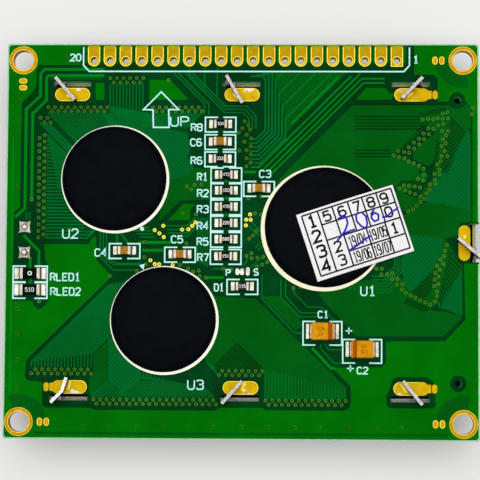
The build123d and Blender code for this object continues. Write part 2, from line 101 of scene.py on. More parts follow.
def placeOn(material):
    # Place on the surface in the object's own coordinates
    return addNode(material, "ShaderNodeTexCoord").outputs["Object"]


def noiseAt(material, grainMm, detail=3.0):
    # Noise whose blotches are about grainMm across
    noise = addNode(material, "ShaderNodeTexNoise", {"Scale": 1 / (grainMm * mm), "Detail": detail},
                    {"Vector": placeOn(material)})
    return noise.outputs["Fac"]


def bumpFrom(material, height, depthMm):
    return addNode(material, "ShaderNodeBump", {"Distance": depthMm * mm}, {"Height": height}).outputs["Normal"]


def squareGrid(material, place, pitchMm, colours, lines):
    # Square cells of two colours, with lines of a third between them
    first, second, between = (linearColour(colour) for colour in colours)
    grid = addNode(material, "ShaderNodeTexBrick",
                   {"Scale": 1 / (pitchMm * mm), "offset": 0.0, "Brick Width": 1.0, "Row Height": 1.0,
                    "Color1": first, "Color2": second, "Mortar": between, **lines}, {"Vector": place})
    return grid.outputs["Color"]


def mottledFinish(name, colours, blotches, grain, settings):
    # Colour that drifts from one to the other: blotches are size, low and high, grain is size and depth
    material = newMaterial(name)
    colour = blendColours(material, noiseAt(material, blotches[0]), *colours, *blotches[1:])
    normal = bumpFrom(material, noiseAt(material, grain[0]), grain[1])
    return finishMaterial(material, settings, {"Base Color": colour, "Normal": normal})


# Materials, each named for what the real one is and how its surface was made, or for the light or shade painted into
# it

lacquerGloss = {"Roughness": 0.3, "Specular IOR Level": 0.006}
lacquerRipple = (0.5, 0.004)   # mm, size and depth


def solderMaskedLaminate(name, light, dark):
    # Cured green lacquer: glossy, with a faint ripple and uneven depth of colour
    return mottledFinish(name, (light, dark), (6.0, 0.35, 0.65), lacquerRipple, lacquerGloss)


def hatchedCopperMask(name, line, gap):
    # Lacquer over a copper mesh: a fine diagonal weave shows through, drawn a little coarser than it is
    material = newMaterial(name)
    meshPitch = 0.5
    turned = addNode(material, "ShaderNodeMapping", {"Rotation": (0, 0, math.radians(45))},
                     {"Vector": placeOn(material)})
    mesh = squareGrid(material, turned.outputs["Vector"], meshPitch, (gap, gap, line),
                      {"Mortar Size": 0.16, "Mortar Smooth": 0.6})
    normal = bumpFrom(material, noiseAt(material, lacquerRipple[0]), lacquerRipple[1])
    return finishMaterial(material, lacquerGloss, {"Base Color": mesh, "Normal": normal})


def cutGlassFibre(name, light, dark):
    # Sawn edge of the laminate: matt, with the glass layers showing as fine bands
    material = newMaterial(name)
    bands = addNode(material, "ShaderNodeTexWave", {"Scale": 1 / (1.2 * mm), "Distortion": 2.0,
                    "bands_direction": "Z"}, {"Vector": placeOn(material)})
    colour = blendColours(material, bands.outputs["Fac"], light, dark)
    normal = bumpFrom(material, noiseAt(material, 0.12), 0.02)
    return finishMaterial(material, {"Roughness": 0.75}, {"Base Color": colour, "Normal": normal})


def platedGold(name, light, dark, rough=0.45):
    # Immersion gold on copper: satin metal with slightly cloudy colour
    return mottledFinish(name, (light, dark), (1.1, 0.35, 0.7), (0.15, 0.006),
                         {"Metallic": 0.75, "Roughness": rough, "Specular IOR Level": 0.1})


def reflowedSolder(name, light, dark, rough=0.28):
    # Tin solder after the oven: bright metal with frosty patches
    material = newMaterial(name)
    patches = noiseAt(material, 0.7, 4.0)
    colour = blendColours(material, patches, light, dark, 0.35, 0.7)
    roughness = addNode(material, "ShaderNodeMapRange", {"To Min": rough, "To Max": rough + 0.25},
                        {"Value": patches})
    normal = bumpFrom(material, noiseAt(material, 0.35), 0.03)
    return finishMaterial(material, {"Metallic": 0.4},
                          {"Base Color": colour, "Roughness": roughness.outputs["Result"], "Normal": normal})


def speckledPlastic(name, light, dark, rough=0.5, grainMm=0.4, depthMm=0.01, level=0.4):
    # Moulded or printed surface: slight mottling and a fine grain
    return mottledFinish(name, (light, dark), (grainMm * 3, 0.3, 0.7), (grainMm, depthMm),
                         {"Roughness": rough, "Specular IOR Level": level})


def stovedBlackPaint(name):
    # Black stoving enamel on sheet steel: soft gloss with a little orange peel
    return mottledFinish(name, ("#0C0C0E", "#17171A"), (2.5, 0.3, 0.7), (0.6, 0.012),
                         {"Roughness": 0.4, "Specular IOR Level": 0.35})


def shearedSteel(name, light, dark):
    # Bare edge of the sheet where the press cut it: bright, scored along the cut
    material = newMaterial(name)
    scores = noiseAt(material, 0.25, 4.0)
    colour = blendColours(material, scores, light, dark, 0.3, 0.75)
    normal = bumpFrom(material, scores, 0.02)
    return finishMaterial(material, {"Metallic": 0.55, "Roughness": 0.38},
                          {"Base Color": colour, "Normal": normal})


def clearSheet(name, tint):
    # Glass or acrylic: clear, with a faint tint that drifts in wide blotches
    material = newMaterial(name)
    colour = blendColours(material, noiseAt(material, 20.0), tint, "#FFFFFF", 0.2, 0.9)
    return finishMaterial(material, {"Roughness": 0.05, "Transmission Weight": 0.9, "IOR": 1.5},
                          {"Base Color": colour})


def displayFilm(name):
    # Polariser over the cell: yellow-green film on which the rows of dots just show
    material = newMaterial(name)
    dotPitch = 0.44
    dots = squareGrid(material, placeOn(material), dotPitch, ("#A9B648", "#A4B142", "#B3BF55"), {"Mortar Size": 0.06})
    normal = bumpFrom(material, noiseAt(material, 3.0), 0.01)
    return finishMaterial(material, {"Roughness": 0.3}, {"Base Color": dots, "Normal": normal})


def layeredRubber(name):
    # Elastomer connector: thin dark conducting layers between pale silicone
    material = newMaterial(name)
    layers = addNode(material, "ShaderNodeTexWave", {"Scale": 1 / (2.0 * mm)}, {"Vector": placeOn(material)})
    colour = blendColours(material, layers.outputs["Fac"], "#D8D2C8", "#17171A", 0.4, 0.6)
    return finishMaterial(material, {"Roughness": 0.7}, {"Base Color": colour})


def bandedTantalum(name, bandStart, bandEnd):
    # Amber moulded resin; the polarity band is printed darker across one end
    material = newMaterial(name)
    along = addNode(material, "ShaderNodeSeparateXYZ", {}, {"Vector": placeOn(material)}).outputs["X"]
    after = addNode(material, "ShaderNodeMath", {"operation": "GREATER_THAN", 1: bandStart}, {0: along})
    before = addNode(material, "ShaderNodeMath", {"operation": "LESS_THAN", 1: bandEnd}, {0: along})
    inBand = addNode(material, "ShaderNodeMath", {"operation": "MULTIPLY"},
                     {0: after.outputs["Value"], 1: before.outputs["Value"]})
    resin = blendColours(material, noiseAt(material, 0.8), "#D89604", "#C68402", 0.35, 0.7)
    mixed = addNode(material, "ShaderNodeMix", {"data_type": "RGBA", 7: linearColour("#A04C08")},
                    {0: inBand.outputs["Value"], 6: resin})
    normal = bumpFrom(material, noiseAt(material, 0.3), 0.01)
    return finishMaterial(material, {"Roughness": 0.5, "Specular IOR Level": 0.03},
                          {"Base Color": mixed.outputs[2], "Normal": normal})


maskOverCopper = solderMaskedLaminate("solder mask over copper", "#006E04", "#006402")
maskOverGround = solderMaskedLaminate("solder mask over inner ground", "#005A10", "#00520C")
maskOverLaminate = solderMaskedLaminate("solder mask over bare laminate", "#003E16", "#003410")
maskInGaps = solderMaskedLaminate("solder mask in narrow gaps", "#00340E", "#002C0A")
maskOverFanout = solderMaskedLaminate("solder mask between fine traces", "#00441A", "#003A14")
maskOverHatch = hatchedCopperMask("solder mask over hatched copper", "#00662A", "#005A20")
maskOverTraces = solderMaskedLaminate("solder mask over fine traces", "#007028", "#006622")
maskOverWideTraces = solderMaskedLaminate("solder mask over wide traces", "#008018", "#007612")
maskOverVias = solderMaskedLaminate("solder mask over via rims", "#4C8428", "#407018")
maskInWells = solderMaskedLaminate("solder mask in via wells", "#0A3808", "#062C06")
sawnLaminate = cutGlassFibre("sawn glass fibre laminate", "#C8B48C", "#8F7D58")
# Walls of the slots and holes: pale green, painted bounce light from the green board
slotLaminateGreenBounce = cutGlassFibre("routed glass fibre with painted green bounce light", "#86D498", "#66B47E")
platedPads = platedGold("gold plated pads", "#A28402", "#927402", 0.5)
platedTabPads = platedGold("gold plated tab pads", "#B29404", "#A28202")
platedRings = platedGold("gold plated rings", "#A67C02", "#926802")
platedJumpers = platedGold("gold plated jumper pads", "#AA8804", "#9A7A02")
# Paler gold: painted highlights on rims and open vias, and painted reflections of the tabs
goldHighlight = platedGold("gold with painted highlights", "#E0CC50", "#CCB63A")
solder = reflowedSolder("reflowed solder", "#DAD8CA", "#AEAA9A")
handSolder = reflowedSolder("hand made solder joint", "#B8B4A8", "#6A665C", 0.32)
tinnedStrip = reflowedSolder("tinned terminal strip", "#F4F2EC", "#D4D0C6", 0.4)
silkInk = speckledPlastic("screen printed white ink", "#C2F8F0", "#B0ECE6", 0.6)
creamInk = speckledPlastic("cream dam ink", "#FCFCEC", "#F0EED8", 0.55)
yellowedInk = speckledPlastic("yellowed dam ink", "#F8F4D4", "#ECE6C2", 0.55)
pottingEpoxy = speckledPlastic("black potting epoxy", "#030609", "#07090D", 0.5, 0.8, 0.012, 0.02)
resistorGlaze = speckledPlastic("black resistor glaze", "#040505", "#0B0B0A", 0.5, 0.2, level=0.02)
chipEnds = speckledPlastic("tinned chip ends", "#E8E0CC", "#C8BCA4", 0.4, 0.2)
filletShade = reflowedSolder("solder fillet in the chip's shade", "#8A7458", "#6C563C", 0.4)
ceramicBody = speckledPlastic("fired ceramic dielectric", "#AC7A0C", "#946408", 0.45, 0.2, level=0.1)
diodeBody = speckledPlastic("moulded diode body", "#141210", "#0C0A09", 0.4, 0.2, level=0.1)
# Pale lilac patches on the tab pads beside the tabs
lilacPadPatches = reflowedSolder("pale lilac patches beside the tabs", "#D8CCC4", "#B08C70", 0.35)
# Painted highlight along the board's edge, in pale laminate green
boardEdgeHighlight = speckledPlastic("painted highlight on the laminate edge", "#A4DCAC", "#84C898", 0.6, 0.3)
blackEnamel = stovedBlackPaint("black stoved enamel")
cutSteel = shearedSteel("sheared steel edge", "#BCB8BA", "#6C686A")
# Steel down in the upper slots and the notch: painted shade, tinted by painted green bounce light
slotSteelShadeAndBounce = shearedSteel("sheared steel with painted shade and green bounce light", "#868C5C", "#5E6440")
# Top edge of the lower left tab: painted highlight
tabHighlightSteel = shearedSteel("sheared steel with painted highlight", "#E2E0E0", "#9C9898")
# Steel down in the lower slots: painted shade
shadedSteel = shearedSteel("sheared steel with painted shade in the lower slots", "#827E7A", "#585450")
floatGlass = clearSheet("float glass", "#E4F0EA")
acrylic = clearSheet("polished acrylic", "#EEF6F4")
film = displayFilm("display polariser film")
zebra = layeredRubber("layered silicone rubber")
sealResin = speckledPlastic("cell seal resin", "#C9C2A6", "#B8B094")
whiteMoulding = speckledPlastic("white moulded ABS", "#EFEEE8", "#E2E0D8")
whiteFilm = speckledPlastic("white polyester film", "#F6F6F4", "#ECECEA", 0.4)
ledResin = speckledPlastic("yellow LED resin", "#E8E08A", "#D8CC70", 0.3)
paper = speckledPlastic("matt white label paper", "#F0EFEE", "#E8E6E6", 0.8, 0.15, 0.006, 0.1)
printInk = speckledPlastic("black label print", "#060607", "#101012", 0.7, level=0.1)
penInk = speckledPlastic("blue ballpoint ink", "#2008A8", "#3014BC", 0.5, 0.15, level=0.1)
printedDigits = speckledPlastic("pale printed digits", "#E6EEEA", "#D0D8D4", 0.6)
burntMarking = speckledPlastic("marking burnt into the resin", "#B07004", "#9C6002", 0.6, level=0.03)
print("materials made")


# Small tools for flat artwork: every shape is a thin closed slab

def slabFrom(bm, ring, bottom, top):
    # Closed slab over a ring of (x, y) points in millimetres
    low = [bm.verts.new((x * mm, y * mm, bottom)) for x, y in ring]
    high = [bm.verts.new((x * mm, y * mm, top)) for x, y in ring]
    bm.faces.new(high)
    bm.faces.new(low[::-1])
    for i in range(len(ring)):
        j = (i + 1) % len(ring)
        bm.faces.new((low[i], low[j], high[j], high[i]))


def ribbon(bm, points, width, bottom, top, closed=False):
    # Strip of one width along a line of (x, y) points, mitred at its corners
    count = len(points)
    spans = count if closed else count - 1
    headings = []
    for i in range(spans):
        a, b = Vector(points[i]), Vector(points[(i + 1) % count])
        headings.append((b - a).normalized())
    sides = []
    for i in range(count):
        before = headings[i - 1] if closed or i > 0 else headings[0]
        after = headings[i % spans] if closed or i < count - 1 else headings[-1]
        middle = before + after
        middle = middle.normalized() if middle.length > 0.2 else after
        reach = width / 2 / max(0.35, middle.dot(after))
        across = Vector((-middle.y, middle.x)) * reach
        sides.append((Vector(points[i]) + across, Vector(points[i]) - across))
    rows = []
    for left, right in sides:
        corners = [(right, bottom), (right, top), (left, top), (left, bottom)]
        rows.append([bm.verts.new((p.x * mm, p.y * mm, z)) for p, z in corners])
    for i in range(spans):
        a, b = rows[i], rows[(i + 1) % count]
        for k in range(4):
            bm.faces.new((a[k], b[k], b[(k + 1) % 4], a[(k + 1) % 4]))
    if not closed:
        bm.faces.new(rows[0])
        bm.faces.new(rows[-1][::-1])


def circlePoints(centre, radius, steps, start=0.0, sweep=360.0):
    turns = [math.radians(start + sweep * i / steps) for i in range(steps + (sweep < 360))]
    return [(centre[0] + radius * math.cos(t), centre[1] + radius * math.sin(t)) for t in turns]


def ringOn(bm, centre, radius, width, bottom, top, steps):
    ribbon(bm, circlePoints(centre, radius, steps), width, bottom, top, closed=True)


def newPiece(name, bm, material):
    # Turns a bmesh into a piece of the object that rides on its body
    bmesh.ops.recalc_face_normals(bm, faces=bm.faces)
    mesh = bpy.data.meshes.new(name)
    bm.to_mesh(mesh)
    bm.free()
    mesh.materials.append(material)
    piece = bpy.data.objects.new(name, mesh)
    bpy.context.scene.collection.objects.link(piece)
    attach(piece, "root")


# Stroke letters on a grid 4 wide and 6 high, as a plotter draws them
glyphs = {
    "0": [[(1, 0), (3, 0), (4, 1.2), (4, 4.8), (3, 6), (1, 6), (0, 4.8), (0, 1.2), (1, 0)]],
    "1": [[(0.8, 4.8), (2.2, 6), (2.2, 0)], [(0.8, 0), (3.6, 0)]],
    "2": [[(0, 4.8), (0.9, 6), (3.1, 6), (4, 4.9), (4, 3.9), (0, 0), (4, 0)]],
    "3": [[(0, 5.2), (0.8, 6), (3.2, 6), (4, 5.2), (4, 3.9), (3.2, 3.2), (1.6, 3.2)],
          [(3.2, 3.2), (4, 2.4), (4, 0.9), (3.2, 0), (0.8, 0), (0, 0.8)]],
    "4": [[(3, 0), (3, 6), (0, 2), (4, 2)]],
    "5": [[(4, 6), (0.4, 6), (0.2, 3.4), (1, 3.8), (3, 3.8), (4, 2.9), (4, 0.9), (3, 0), (0.9, 0), (0, 0.8)]],
    "6": [[(3.8, 5.2), (3, 6), (1, 6), (0, 4.8), (0, 1.2), (1, 0), (3, 0), (4, 1), (4, 2.4), (3, 3.4), (1, 3.4),
           (0, 2.4)]],
    "7": [[(0, 6), (4, 6), (1.6, 0)]],
    "8": [[(1, 3.2), (0, 4), (0, 5.2), (1, 6), (3, 6), (4, 5.2), (4, 4), (3, 3.2), (1, 3.2), (0, 2.4), (0, 0.9),
           (1, 0), (3, 0), (4, 0.9), (4, 2.4), (3, 3.2)]],
    "9": [[(0.2, 0.8), (1, 0), (3, 0), (4, 1.2), (4, 4.8), (3, 6), (1, 6), (0, 5), (0, 3.6), (1, 2.6), (3, 2.6),
           (4, 3.6)]],
    "R": [[(0, 0), (0, 6), (3, 6), (4, 5.2), (4, 3.9), (3, 3.1), (0, 3.1)], [(2, 3.1), (4, 0)]],
    "C": [[(4, 5), (3, 6), (1, 6), (0, 4.8), (0, 1.2), (1, 0), (3, 0), (4, 1)]],
    "U": [[(0, 6), (0, 1.2), (1, 0), (3, 0), (4, 1.2), (4, 6)]],
    "D": [[(0, 0), (0, 6), (2.8, 6), (4, 4.8), (4, 1.2), (2.8, 0), (0, 0)]],
    "L": [[(0, 6), (0, 0), (3.8, 0)]],
    "E": [[(4, 6), (0, 6), (0, 0), (4, 0)], [(0, 3.1), (3, 3.1)]],
    "P": [[(0, 0), (0, 6), (3, 6), (4, 5.2), (4, 3.8), (3, 3), (0, 3)]],
    "S": [[(4, 5.1), (3.1, 6), (0.9, 6), (0, 5.1), (0, 4), (0.9, 3.2), (3.1, 2.9), (4, 2.1), (4, 0.9), (3.1, 0),
           (0.9, 0), (0, 0.9)]],
    "+": [[(0, 3), (4, 3)], [(2, 1), (2, 5)]],
    "/": [[(0.4, -0.4), (3.6, 6.4)]],
}


def strokeText(bm, words, centre, height, width, bottom, top, stroke, gap=0.45, turn=0):
    # Words of stroke letters about a centre; width is that of one letter, gap the share left between
    step = width * (1 + gap)
    total = step * (len(words) - 1) + width
    spin = Matrix.Rotation(math.radians(turn), 2)
    for place, letter in enumerate(words):
        for line in glyphs.get(letter, []):
            points = []
            for gx, gy in line:
                local = Vector((place * step - total / 2 + gx / 4 * width, (gy / 6 - 0.5) * height))
                points.append(tuple(spin @ local + Vector(centre)))
            ribbon(bm, points, stroke, bottom, top)


def centreOf(node):
    low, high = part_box(node)
    return ((low.x + high.x) / 2 / mm, (low.y + high.y) / 2 / mm)


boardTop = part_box("circuit_board")[1].z
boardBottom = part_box("circuit_board")[0].z

# Places that several drawings share, in mm from the board's middle
mountX, mountY = 35, 28.75
mounts = [(-mountX, mountY), (-mountX, -mountY), (mountX, -mountY), (mountX, mountY)]
headerY, headerMiddle, headerPitch = 28.75, 0.43, 2.54

# Nodes that several drawings share; each moulded capacitor with the side of its band
resistors = ["resistor_r%d" % number for number in range(1, 9)]
ceramics = ["ceramic_capacitor_c%d" % number for number in range(3, 7)]
backlightResistors = ["led_resistor_1", "led_resistor_2"]
tantalums = {"tantalum_capacitor_c1": 1, "tantalum_capacitor_c2": -1}

# Copper under the solder mask: flooded areas, fields of fine traces, traces and vias
copperSettings = {
    "fieldTop": 0.004,       # mm above the board: fields where traces are finest
    "hatchTop": 0.0057,      # mm, hatched copper
    "floodTop": 0.012,       # mm, flooded copper
    "groundDrop": 0.003,     # mm, from the flooded copper down to the ground areas
    "shadeTop": 0.015,       # mm, ground of an inner layer that shows darker through the flood
    "traceTop": 0.017,       # mm, traces
    "diagonalTop": 0.022,    # mm, long diagonal traces
    "wellTop": 0.02,         # mm, dark wells of the vias
    "viaTop": 0.023,         # mm, rims of the vias
    "stagger": 0.0005,       # mm, from one to the next, so that no two share a face where they cross
    "pitch": 0.52,           # mm, traces of the fans and bundles
    "fineTrace": 0.2,        # mm, widths
    "combTrace": 0.16,
    "bundleTrace": 0.25,
    "wideTrace": 0.44,
    "edgeTrace": 0.22,
    "firstDiagonal": 0.34,
    "diagonal": 0.26,
    "gapWidth": 0.21,
    "padGap": 0.5,           # mm, ground between two header pads
    "viaRing": 0.29,         # mm, outer radius of a via, of which its rim and well are shares
    "mountClearance": 2.1,   # mm, hole in the flood round the mounting holes
    "toolClearance": 1.3,    # mm, and round the hole that only locates the board
}


def floodArea(bm, outline, top, holes=()):
    # Closed slab of a region with holes, built like a poured area
    scratch = bmesh.new()
    for ring in [outline, *holes]:
        corners = [scratch.verts.new((x * mm, y * mm, boardTop)) for x, y in ring]
        for i, corner in enumerate(corners):
            scratch.edges.new((corners[i - 1], corner))
    bmesh.ops.triangle_fill(scratch, edges=list(scratch.edges), use_beauty=True)
    raised = bmesh.ops.extrude_face_region(scratch, geom=list(scratch.faces), use_keep_orig=True)["geom"]
    for item in raised:
        if isinstance(item, bmesh.types.BMVert):
            item.co.z = boardTop + top * mm
    mesh = bpy.data.meshes.new("flood")
    scratch.to_mesh(mesh)
    scratch.free()
    bm.from_mesh(mesh)
    bpy.data.meshes.remove(mesh)


def blobCircle(number):
    # Centre and radius of a blob's dam ring
    low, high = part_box("dam_ring_%d" % number)
    return (low.x + high.x) / 2 / mm, (low.y + high.y) / 2 / mm, (high.x - low.x) / 2 / mm - 0.4


def runTo(start, heading, blob, farthest):
    # Where a trace from start meets a blob, or its farthest length
    across = (start[0] - blob[0], start[1] - blob[1])
    size = math.hypot(*heading)
    dx, dy = heading[0] / size, heading[1] / size
    along = across[0] * dx + across[1] * dy
    room = along * along - (across[0] ** 2 + across[1] ** 2 - blob[2] ** 2)
    length = -along - math.sqrt(room) if room > 0 else farthest
    length = min(length, farthest) if length > 0 else farthest
    return start[0] + dx * length, start[1] + dy * length


def areasFrom(outlines, top, step=0):
    # Plain areas in one bmesh, each a step lower than the last
    bm = bmesh.new()
    for number, outline in enumerate(outlines):
        floodArea(bm, outline, top - number * step)
    return bm


def drawFloods(settings):
    clear, top = settings["mountClearance"], settings["floodTop"]
    mountHoles = [circlePoints(place, clear, 24) for place in mounts]
    toolHole = circlePoints((34.15, -22.4), settings["toolClearance"], 20)
    leftAndBottom = [
        (-37.3, 30.7), (-36.8, 31.22), (-25.8, 31.22), (-25.8, 28), (-32.4, 28), (-32.9, 27.2), (-32.9, 24.6),
        (-33.5, 23.6), (-35.2, 21.8), (-35.25, 5.3), (-36.2, 4.3), (-36.2, -3.4), (-36.6, -3.9), (-36.6, -9.7),
        (-33.1, -9.7), (-32.9, -10.4), (-32.3, -10.95), (-31.6, -10.95), (-31, -10.4), (-30.5, -9.6), (-30.5, -4.2),
        (-31, -3.4), (-31.3, -0.7), (-24.3, -0.7), (-23.6, 0.3), (-23.1, 0.6), (-22.95, -3.2), (-20.95, -5.2),
        (-20.95, -6.2), (-33.85, -19), (-33.95, -19.5), (-34.1, -21.6), (-33.7, -22.3), (-31.3, -22.5),
        (-31.3, -26.2), (-30.7, -26.5), (-23.7, -26.5), (-23, -26.85), (-4, -26.85), (-3.2, -26.4), (3.4, -26.4),
        (4, -26.75), (16.3, -26.75), (17.1, -26.2), (17.4, -25.2), (17.3, -22.9), (14.7, -20.3), (15, -20),
        (22.2, -19.9), (22.85, -19.2), (22.85, -15.85), (32.1, -15.75), (35.3, -12.4), (35.1, -3.5), (37.3, -3.5),
        (37.3, -30.7), (36.8, -31.22), (-36.8, -31.22), (-37.3, -30.7)]
    padClearance = [(24.5, -21.4), (29.2, -21.4), (30.3, -22.2), (30.6, -24.6), (30.6, -25.8), (30.2, -26.3),
                    (23.4, -26.3), (22.9, -25.8), (22.9, -24.3), (23.6, -22.9), (23.8, -21.9)]
    topRight = [(27.3, 31.22), (36.8, 31.22), (37.3, 30.7), (37.3, 3), (36.5, 3), (36.5, 20.9), (35.4, 22.3),
                (35.2, 23.1), (34.4, 23.7), (33.6, 23.6), (32.9, 22.9), (32.8, 22.2), (31, 22.2), (31, 25.9),
                (30.4, 26.5), (27.3, 26.5)]
    smallAreas = [
        [(-14.8, 25.6), (-11.5, 25.6), (-8.5, 22.45), (-14.8, 22.45)],
        [(-23.4, 25.1), (-22, 25.1), (-22, 22.4), (-23.3, 22.4), (-23.4, 23.6)],
        [(19.7, 24.35), (22.7, 24.35), (23.3, 23.6), (24.2, 23.5), (23.7, 22.5), (18.1, 22.5)],
        [(-9.3, 5.75), (-7.3, 5.75), (-8.1, 4.9), (-8.2, 3.2), (-11.6, 3.2)],
    ]
    bright = areasFrom(smallAreas, top)
    floodArea(bright, leftAndBottom, top, [*mountHoles[:3], padClearance, toolHole])
    floodArea(bright, topRight, top, mountHoles[3:])
    newPiece("copper_flood", bright, maskOverCopper)

    groundAreas = [
        [(-6, -8.7), (-3, -8.9), (2.3, -9.2), (8.4, -15.2), (13.6, -20.2), (16.6, -23.2), (16.6, -25), (3.7, -25),
         (3.7, -20.3), (-4, -20.3), (-5.2, -19.6), (-6.5, -17)],
        [(5.4, 9.2), (10.2, 14.2), (17.6, 21.6), (31.9, 21.6), (32.3, 21), (31, 20), (28.2, 19.2), (28.4, 17.4),
         (26.6, 15.6), (23.7, 13.8), (25.9, 12.9), (28.5, 11.6), (27.7, 10.2), (24.3, 9.3), (24, 8), (18, 6), (8, 6)],
        [(12.1, -8.5), (15, -7), (21.2, -6), (25.2, -9.2), (29.8, -10.9), (34.7, -11.6), (34.6, -12.3), (31.8, -15),
         (22.7, -15.05), (18, -15), (16.2, -12.9)],
        [(26.1, 4.3), (28.9, 6.1), (31.2, 5.9), (36.3, 5), (36.3, 3.1), (34.4, 2.9), (34.1, 0.9), (32.4, 0.4),
         (24.8, 1.3), (24.8, 3.9)],
        [(30.8, 17.2), (31.3, 14.5), (30.6, 12.7), (29.5, 11.9), (27.2, 13), (27.2, 14.3), (29, 16)],
        [(-23.3, -18.1), (-21.1, -16), (-21.1, -22.1), (-23.5, -24.7), (-23.9, -24.2), (-23.9, -21.9), (-23.2, -21)],
        [(-13, 3.1), (-9.7, 6.3), (-5.1, 6.5), (-5.1, 11.4), (-7.5, 11.5), (-8.6, 10.3), (-12.4, 9.4), (-13, 6)],
        [(-30.9, 26), (-22.4, 26), (-22.4, 25.7), (-30.9, 25.6)],
        [(-36.9, 4), (-36.4, 4), (-36.4, -3.4), (-36.9, -3.9)],
        [(3.2, -8.8), (6.1, -8.8), (9.1, -11.9), (9.6, -13.4), (8.6, -14.2)],
        [(31.7, 21.6), (32.8, 21.6), (33.3, 21.2), (34.15, 21.05), (35, 21.3), (35.5, 21.8), (36.3, 21.2),
         (36.3, 17.9), (35.9, 17.7), (35.15, 16.5), (34.1, 15.2), (33.3, 13.7), (32.4, 11.9), (31.5, 10.1),
         (29.9, 8.2), (28.9, 6.6), (27, 4.4), (26, 4.3), (27.3, 6.2), (29.2, 8.6), (30, 9.6), (30.4, 12),
         (31.3, 14.5), (31, 17), (28, 18.9)],
        [(32.2, 0.4), (32.9, -0.8), (35, -4.2), (31, -9.7), (29.8, -10.8), (26.5, -9.9), (23.1, -8.3), (21.9, -6.6),
         (23.5, -4.9), (25.4, -6), (26.9, -8), (30, -4.8), (31, -2.8), (31.6, -0.8)],
        [(23.9, 9.2), (27.9, 10.4), (28.9, 11.4), (29.6, 10.4), (28.4, 8.9), (25, 7.4)],
        [(4.6, 26.8), (16.6, 26.8), (6.85, 17.05), (6.85, 19.4), (6.3, 21.4), (5.8, 23.4), (5.25, 25.6)],
        [(24.2, 7.9), (25.4, 7.7), (27, 7), (28.4, 6.6), (27.4, 5.4), (26.2, 4.4), (25.2, 5.2)],
    ]
    groundTop = top - settings["groundDrop"]
    ground = areasFrom(groundAreas, groundTop, settings["stagger"])
    half = settings["padGap"] / 2
    for pin in range(21):   # between the header pads
        x = headerMiddle + (pin - 10) * headerPitch
        slabFrom(ground, [(x - half, 28.4), (x + half, 28.4), (x + half, 31), (x - half, 31)], boardTop,
                 boardTop + groundTop * mm)
    newPiece("copper_ground", ground, maskOverGround)

    fineAreas = [
        [(-33.1, -19.4), (-20.6, -6.8), (-18, -6), (-14, -14), (-13.5, -20.5), (-13, -24.9), (-23.4, -24.9),
         (-21, -22.3), (-21, -15.8), (-23.2, -17.9), (-24, -18.2)],
        [(-20.9, 21.4), (-15.9, 20.6), (-6.5, 20.4), (-8.5, 17.4), (-8.6, 15.5), (-7.6, 13.6), (-7.5, 11.6),
         (-8.5, 10.5), (-12, 9.2), (-13.8, 7), (-16, 14), (-19, 17.5), (-21.4, 19.5), (-22.4, 19.4), (-24.6, 17.2),
         (-28, 12.5), (-30.8, 15.2), (-30.9, 17.4), (-30.5, 20.2), (-22, 20.3)],
        [(-8, -21), (-5, -20.2), (-4, -24.6), (-8.6, -24.6)],
        [(-28.9, 9), (-30.8, 11), (-30.8, 0.4), (-24.5, 0.4), (-22, 2.6)],
        [(3.4, -5), (6, -5.9), (6, -8.6), (3.6, -8.6)],
        [(0.3, 9.2), (0.3, 6.6), (4.4, 6.6), (3.4, 4.2), (3.2, -0.5), (2.4, -0.6), (0.3, -0.6), (0.3, 9)],
    ]
    newPiece("fine_trace_fields", areasFrom(fineAreas, settings["fieldTop"]), maskOverFanout)

    hatchedAreas = [
        [(-21, -15.6), (-18, -15), (-15.8, -18), (-15.8, -22.3), (-17.8, -23.5), (-18.4, -23.9), (-20.7, -22.3),
         (-21, -21.9)],
        [(-22.2, 20.2), (-21.3, 19.9), (-20.9, 21.3), (-16, 20.5), (-14.2, 20.2), (-11.5, 17.7), (-8.6, 17.1),
         (-8.3, 14.2), (-8.7, 13.3), (-7.4, 11.2), (-9.5, 9.6), (-11.6, 8.8), (-14, 12), (-16.5, 16), (-19.5, 17.8),
         (-21, 18)],
        [(35.9, 17.7), (36.2, 17), (36.2, 4.6), (35.5, 4.5), (31.9, 5.85), (29.3, 6.1), (28.9, 6.6), (29.9, 8.2),
         (31.3, 9.9), (32.4, 11.5), (33.3, 13.7), (34.1, 15.2), (35.15, 16.5)],
        [(26.9, 1), (32, 0.5), (31.6, -0.8), (31, -2.8), (30, -4.8), (26.9, -8), (26.3, -7.6), (25.5, -6.4),
         (25.5, 1)],
        [(34.8, -4.6), (34.85, -11.7), (31, -10.3), (31, -9.6)],
    ]
    newPiece("hatched_copper", areasFrom(hatchedAreas, settings["hatchTop"]), maskOverHatch)

    shade = bmesh.new()
    low, high = boardTop, boardTop + settings["shadeTop"] * mm
    for centre, start, sweep in ((mounts[3], 176, 106), (mounts[1], 2, 112), (mounts[2], 76, 98)):
        ring = circlePoints(centre, 4.4, 12, start, sweep) + circlePoints(centre, 2.15, 8, start, sweep)[::-1]
        slabFrom(shade, ring, low, high)
    ribbon(shade, [(-32.6, -30.5), (32.6, -30.5)], 0.45, low, high)
    newPiece("inner_layer_shade", shade, maskOverGround)


